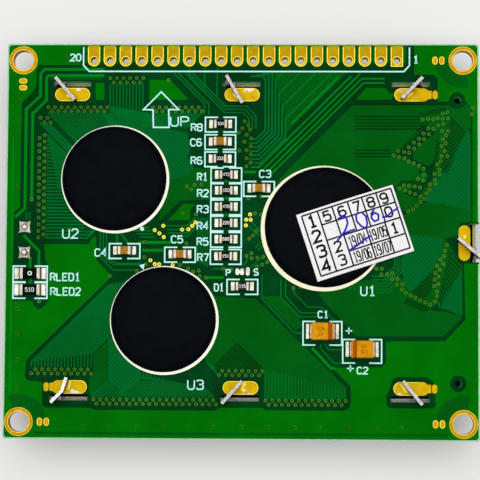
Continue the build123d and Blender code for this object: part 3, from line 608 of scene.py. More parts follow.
def drawTraces(settings):
    bm = bmesh.new()
    low, high = boardTop, boardTop + settings["traceTop"] * mm
    pitch = settings["pitch"]
    blobTwo, blobThree = blobCircle(2), blobCircle(3)
    drawn = []

    def trace(points, width=settings["fineTrace"]):
        drawn.append(points)
        ribbon(bm, points, width, low, high + len(drawn) % 9 * settings["stagger"] * mm)

    def toBlob(points, heading, blob, farthest):
        # A trace that runs on from its last point to a blob
        trace([*points, runTo(points[-1], heading, blob, farthest)])

    def parallel(draw, count, *places, **width):
        # The same line several times over: x, its step, y and its step for each of its places
        for i in range(count):
            draw([(x + right * i, y + up * i) for x, right, y, up in places], **width)

    # Fans between the rows of vias and the blobs
    for i in range(19):
        x = -30.95 + pitch * i
        toBlob([(x, 20.55), (x + 0.1, 20.25)], (1, -1), blobTwo, 7)
    for i in range(4):
        x, y = -32.15 + pitch * i * 1.05, 18.9 - 0.1 * i
        toBlob([(x, y), (x, y - 0.3)], (1, -1), blobTwo, 9)
    for i in range(32):
        y = 16.75 - 0.53 * i
        if y > 8.5:
            toBlob([(-31.15, y), (-31 + 0.21 * (16.75 - y), y)], (1, -1), blobTwo, 5)
        else:
            toBlob([(-31.15, y)], (1, 0), blobTwo, 6.2)
    parallel(trace, 3, (-25, 0.1, 0.25, 0.52), (-24.5, 0.3, 0.25, 0.52), (-23.2, 0, 1.5, 0.25))
    for i in range(11):
        x = -21.05 + pitch * i
        toBlob([(x, 25.1), (x, 21.4 - 0.09 * i)], (1, -1), blobTwo, 2.6)
    for i in range(15):
        toBlob([(-13.7 + pitch * i, 20.3)], (-1, -1), blobTwo, 3.2)
    for i in range(19):
        x = -33.05 + 0.525 * i
        toBlob([(x, -20.15), (x, -19.3 + 0.072 * i)], (1, 1), blobThree, 17.4)
    for i in range(37):
        x = -23.3 + 0.525 * i
        rise = 0.5 + 0.4 * (x + 19) if x < -12 else 3.3 - 0.26 * (x + 12)
        rise = min(max(rise, 0.8), 3.2)
        end = (x + 2.4 - 0.2 * i, -22.2 - 0.2 * i) if x < -19 else (x - rise, -24.6 + rise)
        trace([(x, -24.95), (x, -24.6), end])
    parallel(trace, 4, (-15.8, 0.53, -20.9, 0), (-15.8, 0.53, -22.4, 0))
    parallel(trace, 3, (-3.7, -0.3, -21, 0.35), (-4.7, -0.3, -20, 0.35))
    parallel(trace, 25, (3.9, pitch, -24.95, 0), (3.9, pitch, -20.4, -0.121), width=settings["combTrace"])
    parallel(trace, 4, (20.6, 0.3, -5.6, -0.52), (22.6, 0.14, -5.6, -0.52), (24.2, 0.42, -4, -0.24),
             (24.2, 0.42, -2.6, 0))
    for i in (4, 5):
        y = -5.6 - 0.52 * i
        trace([(21.2, y), (23.2, y), (23.9, -5 - 0.52 * i)])

    # Gaps between the short runs beside the chains of vias at the right
    gaps = bmesh.new()

    def gap(points):
        ribbon(gaps, points, settings["gapWidth"], low, boardTop + settings["floodTop"] * mm)

    for row in (
            (15, (33, -0.11, 19.6, -0.55), (35.3, -0.19, 17.3, -0.47)),
            (8, (28.8, pitch, 19.75, 0.12), (28.1, pitch, 20.45, 0.12)),
            (12, (26.3, 0.33, 14.9, 0.37), (25.7, 0.33, 15.4, 0.37)),
            (12, (30.35, -0.32, -4.4, -0.32), (31.5, -0.26, -5.5, -0.37)),
            (12, (29.9, 0.08, 10.2, 0.52), (30.5, 0.08, 9.6, 0.52)),
            (13, (32.7, -0.13, -1.6, -0.6), (35, -0.29, -3.9, -0.53)),
            (10, (26.4, 0.36, -9, -0.16), (25.6, 0.36, -9.8, -0.16)),
            (10, (24.6, 0.42, 8.6, 0.02), (25.4, 0.42, 9.6, 0.02))):
        parallel(gap, *row)
    for i in range(14):
        x, rise = -3.3 + 0.52 * i, 0.8 + 0.26 * i
        gap([(x, -20.3), (x - rise, -20.3 + rise)])
    for end, heights in ((31.8, (21.7,)), (28.2, (19.8, 19.3, 18.8, 18.3, 17.8)), (23.6, (14.4, 13.9, 13.4))):
        for y in heights:
            gap([(17.9, y), (end, y)])
    newPiece("trace_gaps", gaps, maskInGaps)

    # Bundle below the header: top, bottom, end of the foot and reach of the slope above
    bundle = [(25.8, 17.6, 1.5, 0), (26.3, 17.4, 0.9, 0), (26.7, 17.1, 1.5, 0), (25.6, 17, 0.9, 0.9),
              (23.4, 16.7, 1.5, 3.2), (21.4, 16.5, 0.9, 5.2), (19.4, 16.3, 1.8, 7.3)]
    for i, (top, bottom, end, reach) in enumerate(bundle):
        x, foot, shelf = 3.7 + 0.53 * i, 16.15 - 0.64 * i, 26.2 + 0.25 * i
        if reach:
            points = [(x + reach, top + reach), (x, top)]
        else:
            points = [(x - 2.4 + 0.4 * i, shelf), (x - 0.4, shelf), (x, top - 0.1)]
        points += [(x, bottom), (x - (bottom - foot), foot), (end + 0.2, foot)]
        trace([(a, min(b, 26.85)) for a, b in points], settings["bundleTrace"])
    parallel(trace, 3, (1.1, 0.55, 17.8, 0), (1.1, 0.55, 19.4, 0.2), (0.1, 0.3, 20.4, 0.52),
             (-2.8, 0.1, 20.4, 0.52), (-4, 0.1, 21.6, 0.52), (-9.1, 0.6, 26.7, 0))
    for points in (
            [(-10.9, 26.7), (-6, 21.8), (-6, 20)], [(-10.2, 26.7), (-5.3, 21.8), (-5.3, 20)],
            [(-8.5, 27.6), (-8.5, 26.2), (-6, 23.7)], [(-6, 27.6), (-6, 24.2), (-3.2, 21.4), (0.2, 21.4)],
            [(-4, 27.6), (-4, 22.8), (-2.9, 21.8)]):
        trace(points)

    # Around the capacitors and the small chips
    for i in range(3):
        x = -22.35 + 0.48 * i
        trace([(x, 1.4), (x, -2.5 - 0.1 * i), (x + 1.6, -4.1 + 0.2 * i), (-15.9, -4.1 + 0.2 * i)] if i else
              [(x, 1.4), (x, -2.7), (x + 2, -4.75), (-16.6, -4.75)])
    trace([(-19.7, 1.1), (-19.7, -1)], 0.3)
    trace([(-19, 1), (-17.8, -0.8)], 0.3)
    parallel(trace, 4, (-17.6, 0.5, 2, -0.5), (-14.6, 0.3, 2, -0.5))
    for i, y in enumerate((2.3, 1.7, 1.15, 0.6)):
        trace([(-12 + 0.2 * i, y), (-8.6, y), (-7.3, y + 1.3)])
    parallel(trace, 5, (-6.9, 0.38, 3.6, 0), (-6.9, 0.38, -3.4, -0.2), width=0.18)
    for points in (
            [(3.3, -5.4), (3.3, -9.2), (8.5, -14.6), (9.6, -14.6)],
            [(6.3, -6.1), (6.3, -9), (9.3, -12), (12, -12)],
            [(7, -6.3), (7, -8.8), (9.4, -11.4), (12, -11.4)],
            [(8.3, -7.5), (8.3, -8.2), (10.5, -10.5), (12.7, -10.5), (14.8, -12.7)],
            [(12.6, -16.2), (12.6, -17), (14.7, -19.3), (16, -19.3)], [(13.2, -16.2), (13.8, -17.2), (16, -17.2)],
            [(-3.4, 6.9), (-3.4, 7)], [(1.5, -4.3), (3.3, -2.6)], [(0.3, -4.1), (0.9, -3.2), (0.9, -2.6)],
            [(2.2, -1.2), (3.4, 0)], [(2.6, -1.6), (3.6, -0.6)], [(1.2, 2.3), (2.8, 0.7)], [(1.6, 2.9), (3, 1.5)],
            [(-2.6, -4.5), (-4.6, -4.5)], [(-34.2, 4.4), (-34.2, 3.2)], [(-33.7, 4.4), (-33.7, 3.2)]):
        trace(points)
    newPiece("fine_traces", bm, maskOverTraces)

    bm = bmesh.new()
    for points in (
            [(-22, 27.3), (-31.6, 27.3), (-32.2, 26.6), (-32.2, 23), (-34.45, 20.9), (-34.45, 5), (-36, 3.6)],
            [(-22, 26.3), (-31, 26.3), (-31.25, 26), (-31.25, 22.3), (-33.4, 20.2), (-33.4, 6.4)],
            [(-34.6, 0.7), (-32.1, -1.8), (-32.1, -4.6)], [(-33.5, -2.8), (-33.5, -4.6)],
            [(-16.3, -0.35), (-9.8, -0.35)], [(-15.7, -1.6), (-12.4, -1.6)], [(-5.4, -5.9), (-2.8, -5.9)],
            [(0.3, 10.9), (2.3, 10.9)],
            [(11.2, -16.9), (14.2, -20.1), (14.9, -20.1)], [(-33.6, -6.9), (-33.2, -6.3)],
            [(-2.5, 9.2), (-2.5, 9.6)], [(-2.45, 6.9), (-2.45, 6.5)], [(-2.45, 4.2), (-2.45, 3.9)],
            [(3.1, 7.1), (2.9, 6.9)]):
        ribbon(bm, points, settings["wideTrace"], low, high)
    ribbon(bm, [(-36.45, 16.5), (-36.45, -24.2)], settings["edgeTrace"], low, high)
    for right, rise, left in ((15.4, 10.8, 7.8), (17.3, 8.95, 2.72), (18.8, 7.9, 3.4), (19, 6.85, 4.3),
                              (19.25, 5.9, 4.6)):   # from x right to x left on the line y = x + rise
        head = [(22.6, right + rise)] if right > 18.9 else []
        foot = [(1.5, left + rise)] if left < 3 else []
        width = settings["firstDiagonal"] if right < 16 else settings["diagonal"]
        ribbon(bm, [*head, (right, right + rise), (left, left + rise), *foot], width, low,
               boardTop + settings["diagonalTop"] * mm)
    newPiece("wide_traces", bm, maskOverWideTraces)


# Vias: rows as first place, step and count, the others by place
viaRows = [
    ((-30.9, 21.2), (1.045, 0), 10), ((-14.2, 21.2), (1.04, 0), 8), ((-30.35, 20.6), (1.04, 0), 9),
    ((-13.7, 20.6), (1.04, 0), 8), ((-21.05, 25.9), (1.05, 0), 6), ((-20.5, 25.2), (1.05, 0), 5),
    ((-32.4, -20.5), (1.03, 0), 9), ((-33.05, -21.15), (1.05, 0), 10), ((-23.2, -25.2), (1.05, 0), 19),
    ((-22.7, -25.85), (1.047, 0), 19), ((-2.9, -20.6), (1.05, 0), 7), ((-3.4, -21.25), (1.05, 0), 7),
    ((3.95, -25.2), (1.046, 0), 13), ((4.45, -25.85), (1.04, 0), 12), ((-32.25, 16.25), (0, -1.06), 16),
    ((-31.45, 16.75), (0, -1.06), 16), ((-32.1, 19.5), (1.05, 0), 2), ((-31.5, 18.75), (0.95, 0), 2),
]
tentedVias = [
    (0.4, 19), (1, 18.4), (0.05, 17.9), (1.3, 17.65), (-0.5, 17.2), (0.75, 16.85), (1.45, 16.25), (0.4, 15.7),
    (1.4, 15), (0.75, 14.4), (-0.4, 14.3), (1.4, 13.7), (0.75, 13.1), (1.4, 12.4), (0.75, 11.8), (-8.7, 8.6),
    (-7.45, 8.85), (-6.4, 8.85), (-8, 8.1), (-7.2, 4.1), (2.15, 4.3), (3.1, 4.1), (1.1, 6.7), (2.35, 1.5),
    (1.85, 0.8), (1.25, 0.3), (1.6, -2), (0.85, -2.4), (1.65, -2.8), (2.55, -2.7), (3.5, -2.6), (4.1, -3.4),
    (3.3, -3.8), (2.5, -4.1), (8.25, -7.5), (9.4, -7.3), (-15.35, -0.3), (-15.35, -2.7), (-15.1, -3.8), (-16.5, -4.9),
    (-8.7, -0.5), (-9.7, -3.9), (-8.4, -4.5), (-7.6, -5), (-6.7, -4.8), (-6.6, -5.7), (-5.6, -5.9), (-2.8, -4.5),
    (-1.6, -4.6), (-20.8, -5.7), (-32, -9.8), (-33.4, 6.4), (-11.75, 25.6), (-9.35, 4.3), (3.1, 7), (32.5, 20.5),
    (31.8, 20.3), (28.6, 19.35), (29.5, 19.4), (30.3, 19.4), (31, 19.55), (31.8, 19.45), (32.65, 19.5), (31.9, 18.65),
    (31.1, 18.4), (29.5, 17.9), (30.35, 17.85), (31.7, 17.5), (32.65, 17.5), (28.75, 17.1), (29.6, 17), (32.3, 16.8),
    (28.05, 16.25), (28.85, 16.2), (31.8, 16.2), (27.25, 15.65), (28.1, 15.35), (32.25, 15.5), (31.6, 15.1),
    (26.45, 14.9), (27.3, 14.7), (24.75, 14.3), (25.7, 14.15), (26.5, 14), (32.1, 14.3), (24.1, 13.65), (24.9, 13.35),
    (25.75, 13.15), (31.6, 13.5), (32.5, 13.5), (26.4, 12.65), (31.45, 12.7), (27.2, 12.35), (28.05, 12),
    (30.9, 12.15), (28.75, 11.5), (31.25, 11.35), (28.8, 10.5), (30.45, 10.65), (31.25, 10.6), (27.9, 9.85),
    (28.7, 9.65), (30.55, 9.75), (29.8, 9), (30.6, 9.1), (25.65, 8.85), (26.45, 8.8), (27.35, 8.65), (28.2, 8.5),
    (24.95, 8.35), (25.85, 8), (29.7, 8.15), (26.6, 7.7), (27.4, 7.45), (29.2, 7.55), (28.25, 7.1), (28.85, 6.7),
    (28.3, 6.2), (27.65, 5.6), (27.1, 5), (26.35, 4.7), (32.4, -0.6), (32.1, -1.5), (31.95, -2.3), (31.45, -2.9),
    (31.9, -3.6), (30.85, -3.85), (31.3, -4.5), (30.6, -5), (31.1, -5.55), (30.5, -6.05), (31.05, -6.75),
    (30.4, -7.1), (30.85, -7.95), (30.85, -8.7), (30.5, -9.5), (29.75, -10), (29, -9.65), (28.25, -9.3),
    (27.45, -8.9), (26.7, -8.55), (25.95, -8.2), (25.35, -7.6), (25.4, -6.8), (24.55, -6.85), (24.65, -6), (23.8, -6),
    (23.85, -5.1), (23, -5.25), (22.1, -5.3), (22.2, -4.4), (21.35, -4.4), (36.6, 21.2), (36.4, 20.2),
]
platedVias = [
    (-12.4, 2.3), (-13.75, 1.6), (-13, 1.1), (-12.3, 0.5), (-9.4, 1.7), (-8.4, 1.75), (-7.8, 2.3), (-7.3, 2.85),
    (1.35, 4.15), (0.75, 3.3), (1.45, 3.3), (0.7, 2.4), (-14.4, -3.2), (-13.7, -3.8), (-13, -3.8), (-10.85, -3.95),
]
stitchingVias = [
    (-28.2, 29.2), (-35.6, 22.3), (28.2, 26.8), (-35.7, 8.35), (-35.5, -10.9), (-35.5, -14.9), (-35.5, -19),
    (-35.4, -23.4),
    *[(x, -29.4) for x in (-24.9, -20.9, -16.35, -12.2, -8.4, -4.4, 0.1, 4.35, 8.5, 12.4, 17, 21.3, 25.2)],
]


def drawVias(settings):
    outer = settings["viaRing"]
    low, high, wellTop = boardTop, boardTop + settings["viaTop"] * mm, boardTop + settings["wellTop"] * mm
    rows = [(x + stepX * i, y + stepY * i) for (x, y), (stepX, stepY), count in viaRows for i in range(count)]
    rims, plated, wells = bmesh.new(), bmesh.new(), bmesh.new()

    def via(rim, place, width, steps):
        # A rim of one width, and a dark well a hair lower inside it
        ringOn(rim, place, outer * 0.74, outer * width, low, high, steps)
        slabFrom(wells, circlePoints(place, outer * 0.55, 8), low, wellTop)

    for place in tentedVias + rows:
        via(rims, place, 0.52, 10)
    for place in platedVias:
        via(plated, place, 0.6, 12)
    for x, y in stitchingVias:
        ringOn(rims, (x + 0.06, y + 0.04), outer * 0.7, outer * 0.25, low, high, 10)
        slabFrom(wells, circlePoints((x, y), outer * 0.5, 8), low, high)
    newPiece("via_rims", rims, maskOverVias)
    # Open vias in the gold with painted highlights
    newPiece("plated_vias", plated, goldHighlight)
    newPiece("via_wells", wells, maskInWells)


# Painted highlights on the rims of the header pads, mounting rings, jumper ovals and tab pads, pale patches and
# painted reflections beside the tabs, and a painted highlight along the board's edge
goldSettings = {
    "padTop": 0.06,          # mm above the board, top of the plated pads
    "sink": 0.005,           # mm, from there down to the foot of the details
    "thickness": 0.012,      # mm, from there up to their top
    "tabDrop": 0.003,        # mm, rims of the tab pads below the marks on them
    "rim": 0.13,             # mm wide, header pads
    "smallRim": 0.09,        # mm wide, ovals and tab pads
    "headerStart": -23.7,    # mm, x of the last pin
    "pinRing": (0.66, 0.08), # mm, radius and width, round the header's holes
    "mountRings": [(1.72, 0.08), (2.21, 0.05)],
    "edge": (0.17, 0.01),    # mm, width and height of the painted highlight along the board's edge
    "padHalf": 0.91,         # mm, to the middle of the rim
    "padEnd": 30.85,         # mm, y of the header pads' upper ends
    "ovals": [(-mountX, 24.88, False), (31.13, mountY, True), (-31.13, -mountY, True), (31.13, -mountY, True)],
    "ovalSide": 0.54,        # mm, from the middle of each pair
    "ovalRadius": 0.36,
    "ovalReach": 0.22,       # by which an oval is longer than a circle at either end
    "tabPads": [(-27.05, 23.25, 0), (0, 23.25, 0), (26.95, 23.25, 1), (-27.05, -23.25, -1), (0, -23.25, 0),
                (26.8, -23.25, 1)],   # a necked end, on the right 1 and on the left -1, has no rim
}


def drawGoldDetails(settings):
    bm = bmesh.new()
    low = boardTop + (settings["padTop"] - settings["sink"]) * mm
    high = boardTop + (settings["padTop"] + settings["thickness"]) * mm
    half, end, smallRim = settings["padHalf"], settings["padEnd"], settings["smallRim"]
    y = headerY
    # Painted highlights along the edges of the header pads and round their holes, the mounting rings, ovals and tab
    # pads
    for pin in range(20):
        x = settings["headerStart"] + headerPitch * pin
        foot = [(x + half, y - half), (x - half, y - half)] if pin == 19 else circlePoints((x, y), half, 8, 0, -180)
        ribbon(bm, [(x + half, end), *foot, (x - half, end)], settings["rim"], low, high)
        ringOn(bm, (x, y), *settings["pinRing"], low, high, 16)
    for place in mounts:
        for radius, width in settings["mountRings"]:
            ringOn(bm, place, radius, width, low, high, 40)
    radius, reach = settings["ovalRadius"], settings["ovalReach"]
    for x, y, across in settings["ovals"]:
        spreadX, spreadY = (0, reach) if across else (reach, 0)
        for side in (-settings["ovalSide"], settings["ovalSide"]):
            middleX, middleY = (x + side, y) if across else (x, y + side)
            oval = []
            for turn in range(16):
                angle = math.radians(22.5 * turn + 11.25)
                dx, dy = math.cos(angle), math.sin(angle)
                oval.append((middleX + radius * dx + math.copysign(spreadX, dx),
                             middleY + radius * dy + math.copysign(spreadY, dy)))
            ribbon(bm, oval, smallRim, low, high, closed=True)
    for x, y, neck in settings["tabPads"]:
        rightEnd = circlePoints((x + 1.75, y), 1, 10, -90, 180)
        leftEnd = circlePoints((x - 1.75, y), 1, 10, 90, 180)
        path = {0: rightEnd + leftEnd, 1: [(x + 1.2, y + 1), *leftEnd, (x + 1.2, y - 1)],
                -1: [(x - 1.2, y - 1), *rightEnd, (x - 1.2, y + 1)]}[neck]
        ribbon(bm, path, smallRim, low, high - settings["tabDrop"] * mm, closed=neck == 0)
    newPiece("gold_rim_highlights", bm, goldHighlight)

    # Pale lilac patches on the tab pads beside the tabs
    padPatches = [
        [(-26.6, 24.05), (-26.1, 24.25), (-25.5, 24.2), (-25.6, 23.95), (-26.2, 23.8)],
        [(0.2, 24), (0.7, 24.25), (1.8, 24.2), (2, 23.95), (1.2, 23.75), (0.4, 23.6)],
        [(24.6, 24), (25.3, 24.1), (25.5, 23.7), (25, 23.6)],
        [(-26.9, -24), (-26.6, -23.5), (-26.3, -23.7), (-25.5, -23.95), (-25.4, -24.15), (-26.6, -24.2)],
        [(0.3, -24.1), (0.7, -23.8), (1.5, -24), (1.8, -24.2), (0.8, -24.25)],
        [(24.4, -23.95), (25.2, -23.9), (25.4, -24.15), (24.5, -24.2)],
    ]
    # Painted reflections of the tabs in the mirror-like gold pads
    tabReflections = [
        [(-28.1, 23), (-27.9, 23.4), (-27.4, 22.9), (-27.6, 22.7)],
        [(-1.6, 23.4), (-1.2, 23.5), (-0.2, 22.4), (-0.6, 22.3)],
        [(26.1, 23.1), (27, 23.7), (27.2, 23.5), (26.2, 22.7)],
        [(-27.4, -23.6), (-27, -22.3), (-26.7, -22.35), (-26.9, -23.3), (-27.2, -23.8)],
        [(0, -23.6), (0.4, -22.3), (0.9, -22.6), (0.5, -23.2), (1.1, -24), (0.4, -23.8)],
        [(24.9, -22.5), (25.3, -22.4), (26.3, -23.8), (25.9, -23.9)],
        [(35, 0.9), (35.4, 1), (35.4, 0.5), (35.1, 0.4)],
    ]
    for name, material, outlines in (("tab_pad_patches", lilacPadPatches, padPatches), ("tab_reflections_in_pads", goldHighlight, tabReflections)):
        bm = bmesh.new()
        for outline in outlines:
            slabFrom(bm, outline, low, high)
        newPiece(name, bm, material)

    # Painted highlight along the board's edge
    bm = bmesh.new()
    width, height = settings["edge"]
    reach, edge = 37.4, 31.3
    ribbon(bm, [(reach, 3), (reach, 30.8), (37.22, 31.12), (36.9, edge), (-36.9, edge), (-37.22, 31.12),
                (-reach, 30.8), (-reach, -30.8), (-37.22, -31.12), (-36.9, -edge), (36.9, -edge), (37.22, -31.12),
                (reach, -30.8), (reach, -3.6)], width, boardTop, boardTop + height * mm)
    newPiece("board_edge_highlight", bm, boardEdgeHighlight)


drawFloods(copperSettings)
drawTraces(copperSettings)
drawVias(copperSettings)
drawGoldDetails(goldSettings)
print("copper drawn")


# White silkscreen: header outline, arrow, boxes round the chips and plain designators
silkSettings = {
    "stroke": 0.23,          # mm, line of the drawing
    "letterStroke": 0.21,    # mm, line of the letters
    "height": 0.03,          # mm, top of the ink above the board
    "stagger": 0.0008,       # mm, from one line to the next, so that no two share a face where they cross
    "chipBox": (4.85, 2.35), # mm, boxes round the chips
    "chipGap": 0.85,         # mm, gap in the middle of the long sides
    "chipDrift": -0.1,       # mm, boxes printed a little below the chips
}


def drawSilk(settings):
    bm = bmesh.new()
    low, high = boardTop, boardTop + settings["height"] * mm
    drawn = []

    def line(*points, closed=False):
        drawn.append(points)
        ribbon(bm, points, settings["stroke"], low, high + len(drawn) % 7 * settings["stagger"] * mm, closed)

    def gappedBox(node, size=settings["chipBox"], gap=settings["chipGap"], drift=settings["chipDrift"]):
        # Two brackets facing each other, as round most chips
        centre = centreOf(node)
        halfX, halfY = size[0] / 2, size[1] / 2
        for side in (-1, 1):
            corner = [(gap / 2, -halfY), (halfX, -halfY), (halfX, halfY), (gap / 2, halfY)]
            line(*[(centre[0] + side * x, centre[1] + drift + y) for x, y in corner])

    line((-25.38, 30.9), (-25.38, 27.95), (-24.45, 26.98), (25.65, 26.98), (26.55, 27.95), (26.55, 30.85))
    line((-12.9, 23.7), (-15.7, 20.85), (-14.2, 20.8), (-14.1, 18), (-11.6, 18), (-11.7, 20.85),
         (-10.1, 20.85), closed=True)
    for name in [*resistors, *ceramics, "diode_d1"]:
        gappedBox(name)
    for name in tantalums:
        gappedBox(name, (6.1, 3.7), 2.2, -0.3)
    for name in backlightResistors:
        gappedBox(name, (5.4, 2.5), 1.4)

    letters = [
        ("20", (-26.65, 29.2), 1.05, 0.7), ("1", (27.55, 28.9), 1.05, 0.7), ("UP", (-9.95, 18.95), 1.45, 1.2),
        ("U2", (-27.15, 1), 1.42, 1.03), ("U3", (-7.1, -22.8), 1.42, 1.03), ("U1", (20, -7.9), 1.42, 0.95),
        ("R8", (-7.2, 18), 1.1, 0.72), ("C6", (-7.3, 15.6), 1.1, 0.72), ("R6", (-7.2, 12.7), 1.1, 0.72),
        ("R1", (-6.25, 10.1), 1.1, 0.64), ("R2", (-6.15, 7.5), 1.1, 0.72), ("R3", (-6.15, 4.95), 1.1, 0.72),
        ("R4", (-6.15, 2.3), 1.1, 0.72), ("R5", (-6.15, -0.2), 1.1, 0.72), ("R7", (-6.05, -2.7), 1.1, 0.72),
        ("D1", (-3.5, -7.45), 1.1, 0.6), ("C3", (3.7, 10.6), 1.1, 0.74), ("C4", (-22.3, -2), 1.12, 0.75),
        ("C5", (-10.2, 0.15), 1.1, 0.74), ("C1", (12.95, -11.65), 1, 0.66), ("C2", (19.15, -20.42), 1.02, 0.7),
        ("+", (17, -14.2), 1.5, 1.05), ("+", (17.25, -20.1), 1.5, 1.05),
        ("RLED1", (-27.9, -5.9), 1.14, 0.72), ("RLED2", (-27.8, -8.2), 1.14, 0.73),
        ("P", (-2.05, -5.1), 0.95, 0.62), ("S", (2.35, -5), 0.95, 0.62),
    ]
    for words, centre, height, width in letters:
        strokeText(bm, words, centre, height, width, low, high, settings["letterStroke"], 0.35)
    slabFrom(bm, circlePoints((-15.75, 1.8), 0.33, 10), low, high)
    slabFrom(bm, [(-16.15, -4), (-15.3, -3.75), (-15.45, -4.75)], low, high)
    newPiece("silkscreen", bm, silkInk)


drawSilk(silkSettings)
print("silkscreen drawn")


# Label print: ruled grid with plain numbers, and pen strokes, draped over the bent paper
labelSettings = {
    "centre": (18.07, 1.33),   # mm
    "turn": 18.2,              # degrees
    "size": (14.8, 9.9),       # mm, outer frame of the grid
    "line": 0.25,              # mm, ruled lines
    "penLine": 0.3,            # mm, pen strokes
    "thickness": 0.01,         # mm, of the ink
    "lift": 0.012,             # mm above the paper; the pen three times that
}


def drapeOver(bm, node, lift, longest=0.8):
    # Splits long edges and lays every point on the node's upper side
    for _ in range(5):
        edges = [e for e in bm.edges if e.calc_length() > longest * mm]
        if not edges:
            break
        bmesh.ops.subdivide_edges(bm, edges=edges, cuts=1)
    tree = BVHTree.FromObject(nodes[node], bpy.context.evaluated_depsgraph_get())
    for vert in bm.verts:
        hit = tree.ray_cast(Vector((vert.co.x, vert.co.y, cadBox[1].z + 1 * mm)), Vector((0, 0, -1)))[0]
        if hit:
            vert.co.z = hit.z + vert.co.z + lift * mm


def drawLabelPrint(settings):
    spin = Matrix.Rotation(math.radians(settings["turn"]), 2)
    centre = Vector(settings["centre"])
    halfX, halfY = settings["size"][0] / 2, settings["size"][1] / 2
    right, bottom = 2 * halfX, 2 * halfY
    across = [0, 2.6, 5, 7.55, 9.9, 12.3, right]   # columns of the two upper rows
    below = [5.4, 9.1, 12.2]                       # columns of the two lower rows
    rows = [0, 2.3, 4.85, 7.5, bottom]
    top = settings["thickness"] * mm

    def place(x, y):
        # From the frame's upper left corner: x to the right, y down
        return tuple(spin @ Vector((x - halfX, halfY - y)) + centre)

    def write(words, x, y, height, width, stroke, gap=0.45):
        strokeText(bm, words, place(x, y), height, width, 0, top, stroke, gap, settings["turn"])

    def rule(x, y, endX, endY):
        ribbon(bm, [place(x, y), place(endX, endY)], settings["line"], 0, top)

    bm = bmesh.new()
    for x in across:
        rule(x, 0, x, bottom if x in (0, 2.6, right) else rows[2])
    for x in below:
        rule(x, rows[2], x, bottom)
    for y, start in zip(rows, (0, 2.6, 2.6, 5.4, 0)):
        rule(start, y, right, y)
    for number in range(4):
        write(str(number + 5), (across[number + 1] + across[number + 2]) / 2, 1.2, 1.5, 1.05, 0.3)
        write(str(number + 1), 1.3, 1.3 + 2.45 * number, 1.75, 1.25, 0.36)
    for words, x, y in (("9", 13.3, 1.2), ("0", 13.3, 3.5), ("2", 4, 6.3), ("3", 4, 8.5), ("1", 13.4, 6.2)):
        write(words, x, y, 1.55, 1.05, 0.3)
    for words, x, y in (("19/04", 7.25, 6.2), ("19/05", 10.65, 6.2), ("19/06", 7.25, 8.7), ("19/07", 10.65, 8.7)):
        write(words, x, y, 1.6, 0.42, 0.2, 0.38)
    drapeOver(bm, "inspection_label", settings["lift"])
    newPiece("label_print", bm, printInk)

    strokes = [   # of the pen, in the board's own x and y
        [(15.2, 3.3), (15.9, 3.75), (16.5, 3.6), (16.75, 2.7), (16.4, 1.6), (15.9, 0.8), (15.3, 0.1)],
        [(15.1, -0.1), (16, 0.9), (17, 1.4), (17.9, 1.7)],
        [(18.5, 4.5), (18.05, 4), (18.15, 3), (18.9, 2.2), (19.6, 1.9), (19.85, 2.6), (19.6, 3.8), (19, 4.4)],
        [(20.9, 4.9), (20.5, 4.3), (20.5, 3.5), (21, 3), (21.6, 3.3), (21.6, 4.1), (21, 4.4), (20.6, 4)],
        [(22.2, 3.7), (22.9, 3.8), (23.9, 4.7), (25, 5.35)],
        [(16.9, -1.7), (18.3, -0.8), (19.4, 0.1), (20.5, 0.8)],
    ]
    bm = bmesh.new()
    for stroke in strokes:
        ribbon(bm, stroke, settings["penLine"], 0, top)
    drapeOver(bm, "inspection_label", 3 * settings["lift"])
    newPiece("label_pen_strokes", bm, penInk)


drawLabelPrint(labelSettings)
print("label printed")


# Materials of the CAD nodes
plainFinishes = {
    "front_polariser": film, "rear_polariser": film, "front_glass": floatGlass, "rear_glass": floatGlass,
    "glass_seal": sealResin, "zebra_strip_top": zebra, "zebra_strip_bottom": zebra, "zebra_strip_right": zebra,
    "diffuser_sheet": whiteFilm, "reflector_sheet": whiteFilm, "light_guide": acrylic,
    "backlight_frame": whiteMoulding, "led_strip_board": whiteMoulding, "led_chips": ledResin,
    "backlight_pins": tinnedStrip, "backlight_solder_joints": handSolder,
    "solder_jumper": solder, "header_pads": platedPads, "mounting_rings": platedRings, "tab_pads": platedTabPads,
    "jumper_pads": platedJumpers, "tantalum_terminals": tinnedStrip, "inspection_label": paper,
    "epoxy_blob_1": pottingEpoxy, "epoxy_blob_2": pottingEpoxy, "epoxy_blob_3": pottingEpoxy,
    "dam_ring_1": yellowedInk, "dam_ring_2": creamInk, "dam_ring_3": creamInk,
}


def paintNode(node, *materials):
    mesh = nodes[node].data
    mesh.materials.clear()
    for material in materials:
        mesh.materials.append(material)
    return mesh


def paintFaces(node, materials, choose):
    # Gives every face of a node one of several materials
    for face in paintNode(node, *materials).polygons:
        face.material_index = choose(face)


for name, material in plainFinishes.items():
    paintNode(name, material)


def boardFace(face):
    # Which of the board's materials: its back, outer edges, display side and slots, whose walls carry painted green
    # bounce light
    if abs(face.normal.z) > 0.5:
        return 0 if face.normal.z > 0 else 2
    return 1 if abs(face.center.x) > 36.5 * mm or abs(face.center.y) > 30.5 * mm else 3


def bezelFace(face):
    # Enamel everywhere but on the cut edges: tabs, the lower left one with a painted highlight, and walls down in the
    # slots, with painted shade and, in the upper slots, painted green bounce light
    if face.center.z < boardBottom - 0.1 * mm or face.normal.z < 0.5:
        return 0
    low = face.center.y < -10 * mm
    if face.center.z > boardTop:
        return 3 if low and face.center.x < -20 * mm else 1
    return 4 if low else 2


paintFaces("circuit_board", [maskOverLaminate, sawnLaminate, maskOverGround, slotLaminateGreenBounce], boardFace)
paintFaces("bezel", [blackEnamel, cutSteel, slotSteelShadeAndBounce, tabHighlightSteel, shadedSteel], bezelFace)
paintFaces("chip_lands", [solder, filletShade], lambda face: 1 if 0.1 < face.normal.z < 0.93 else 0)


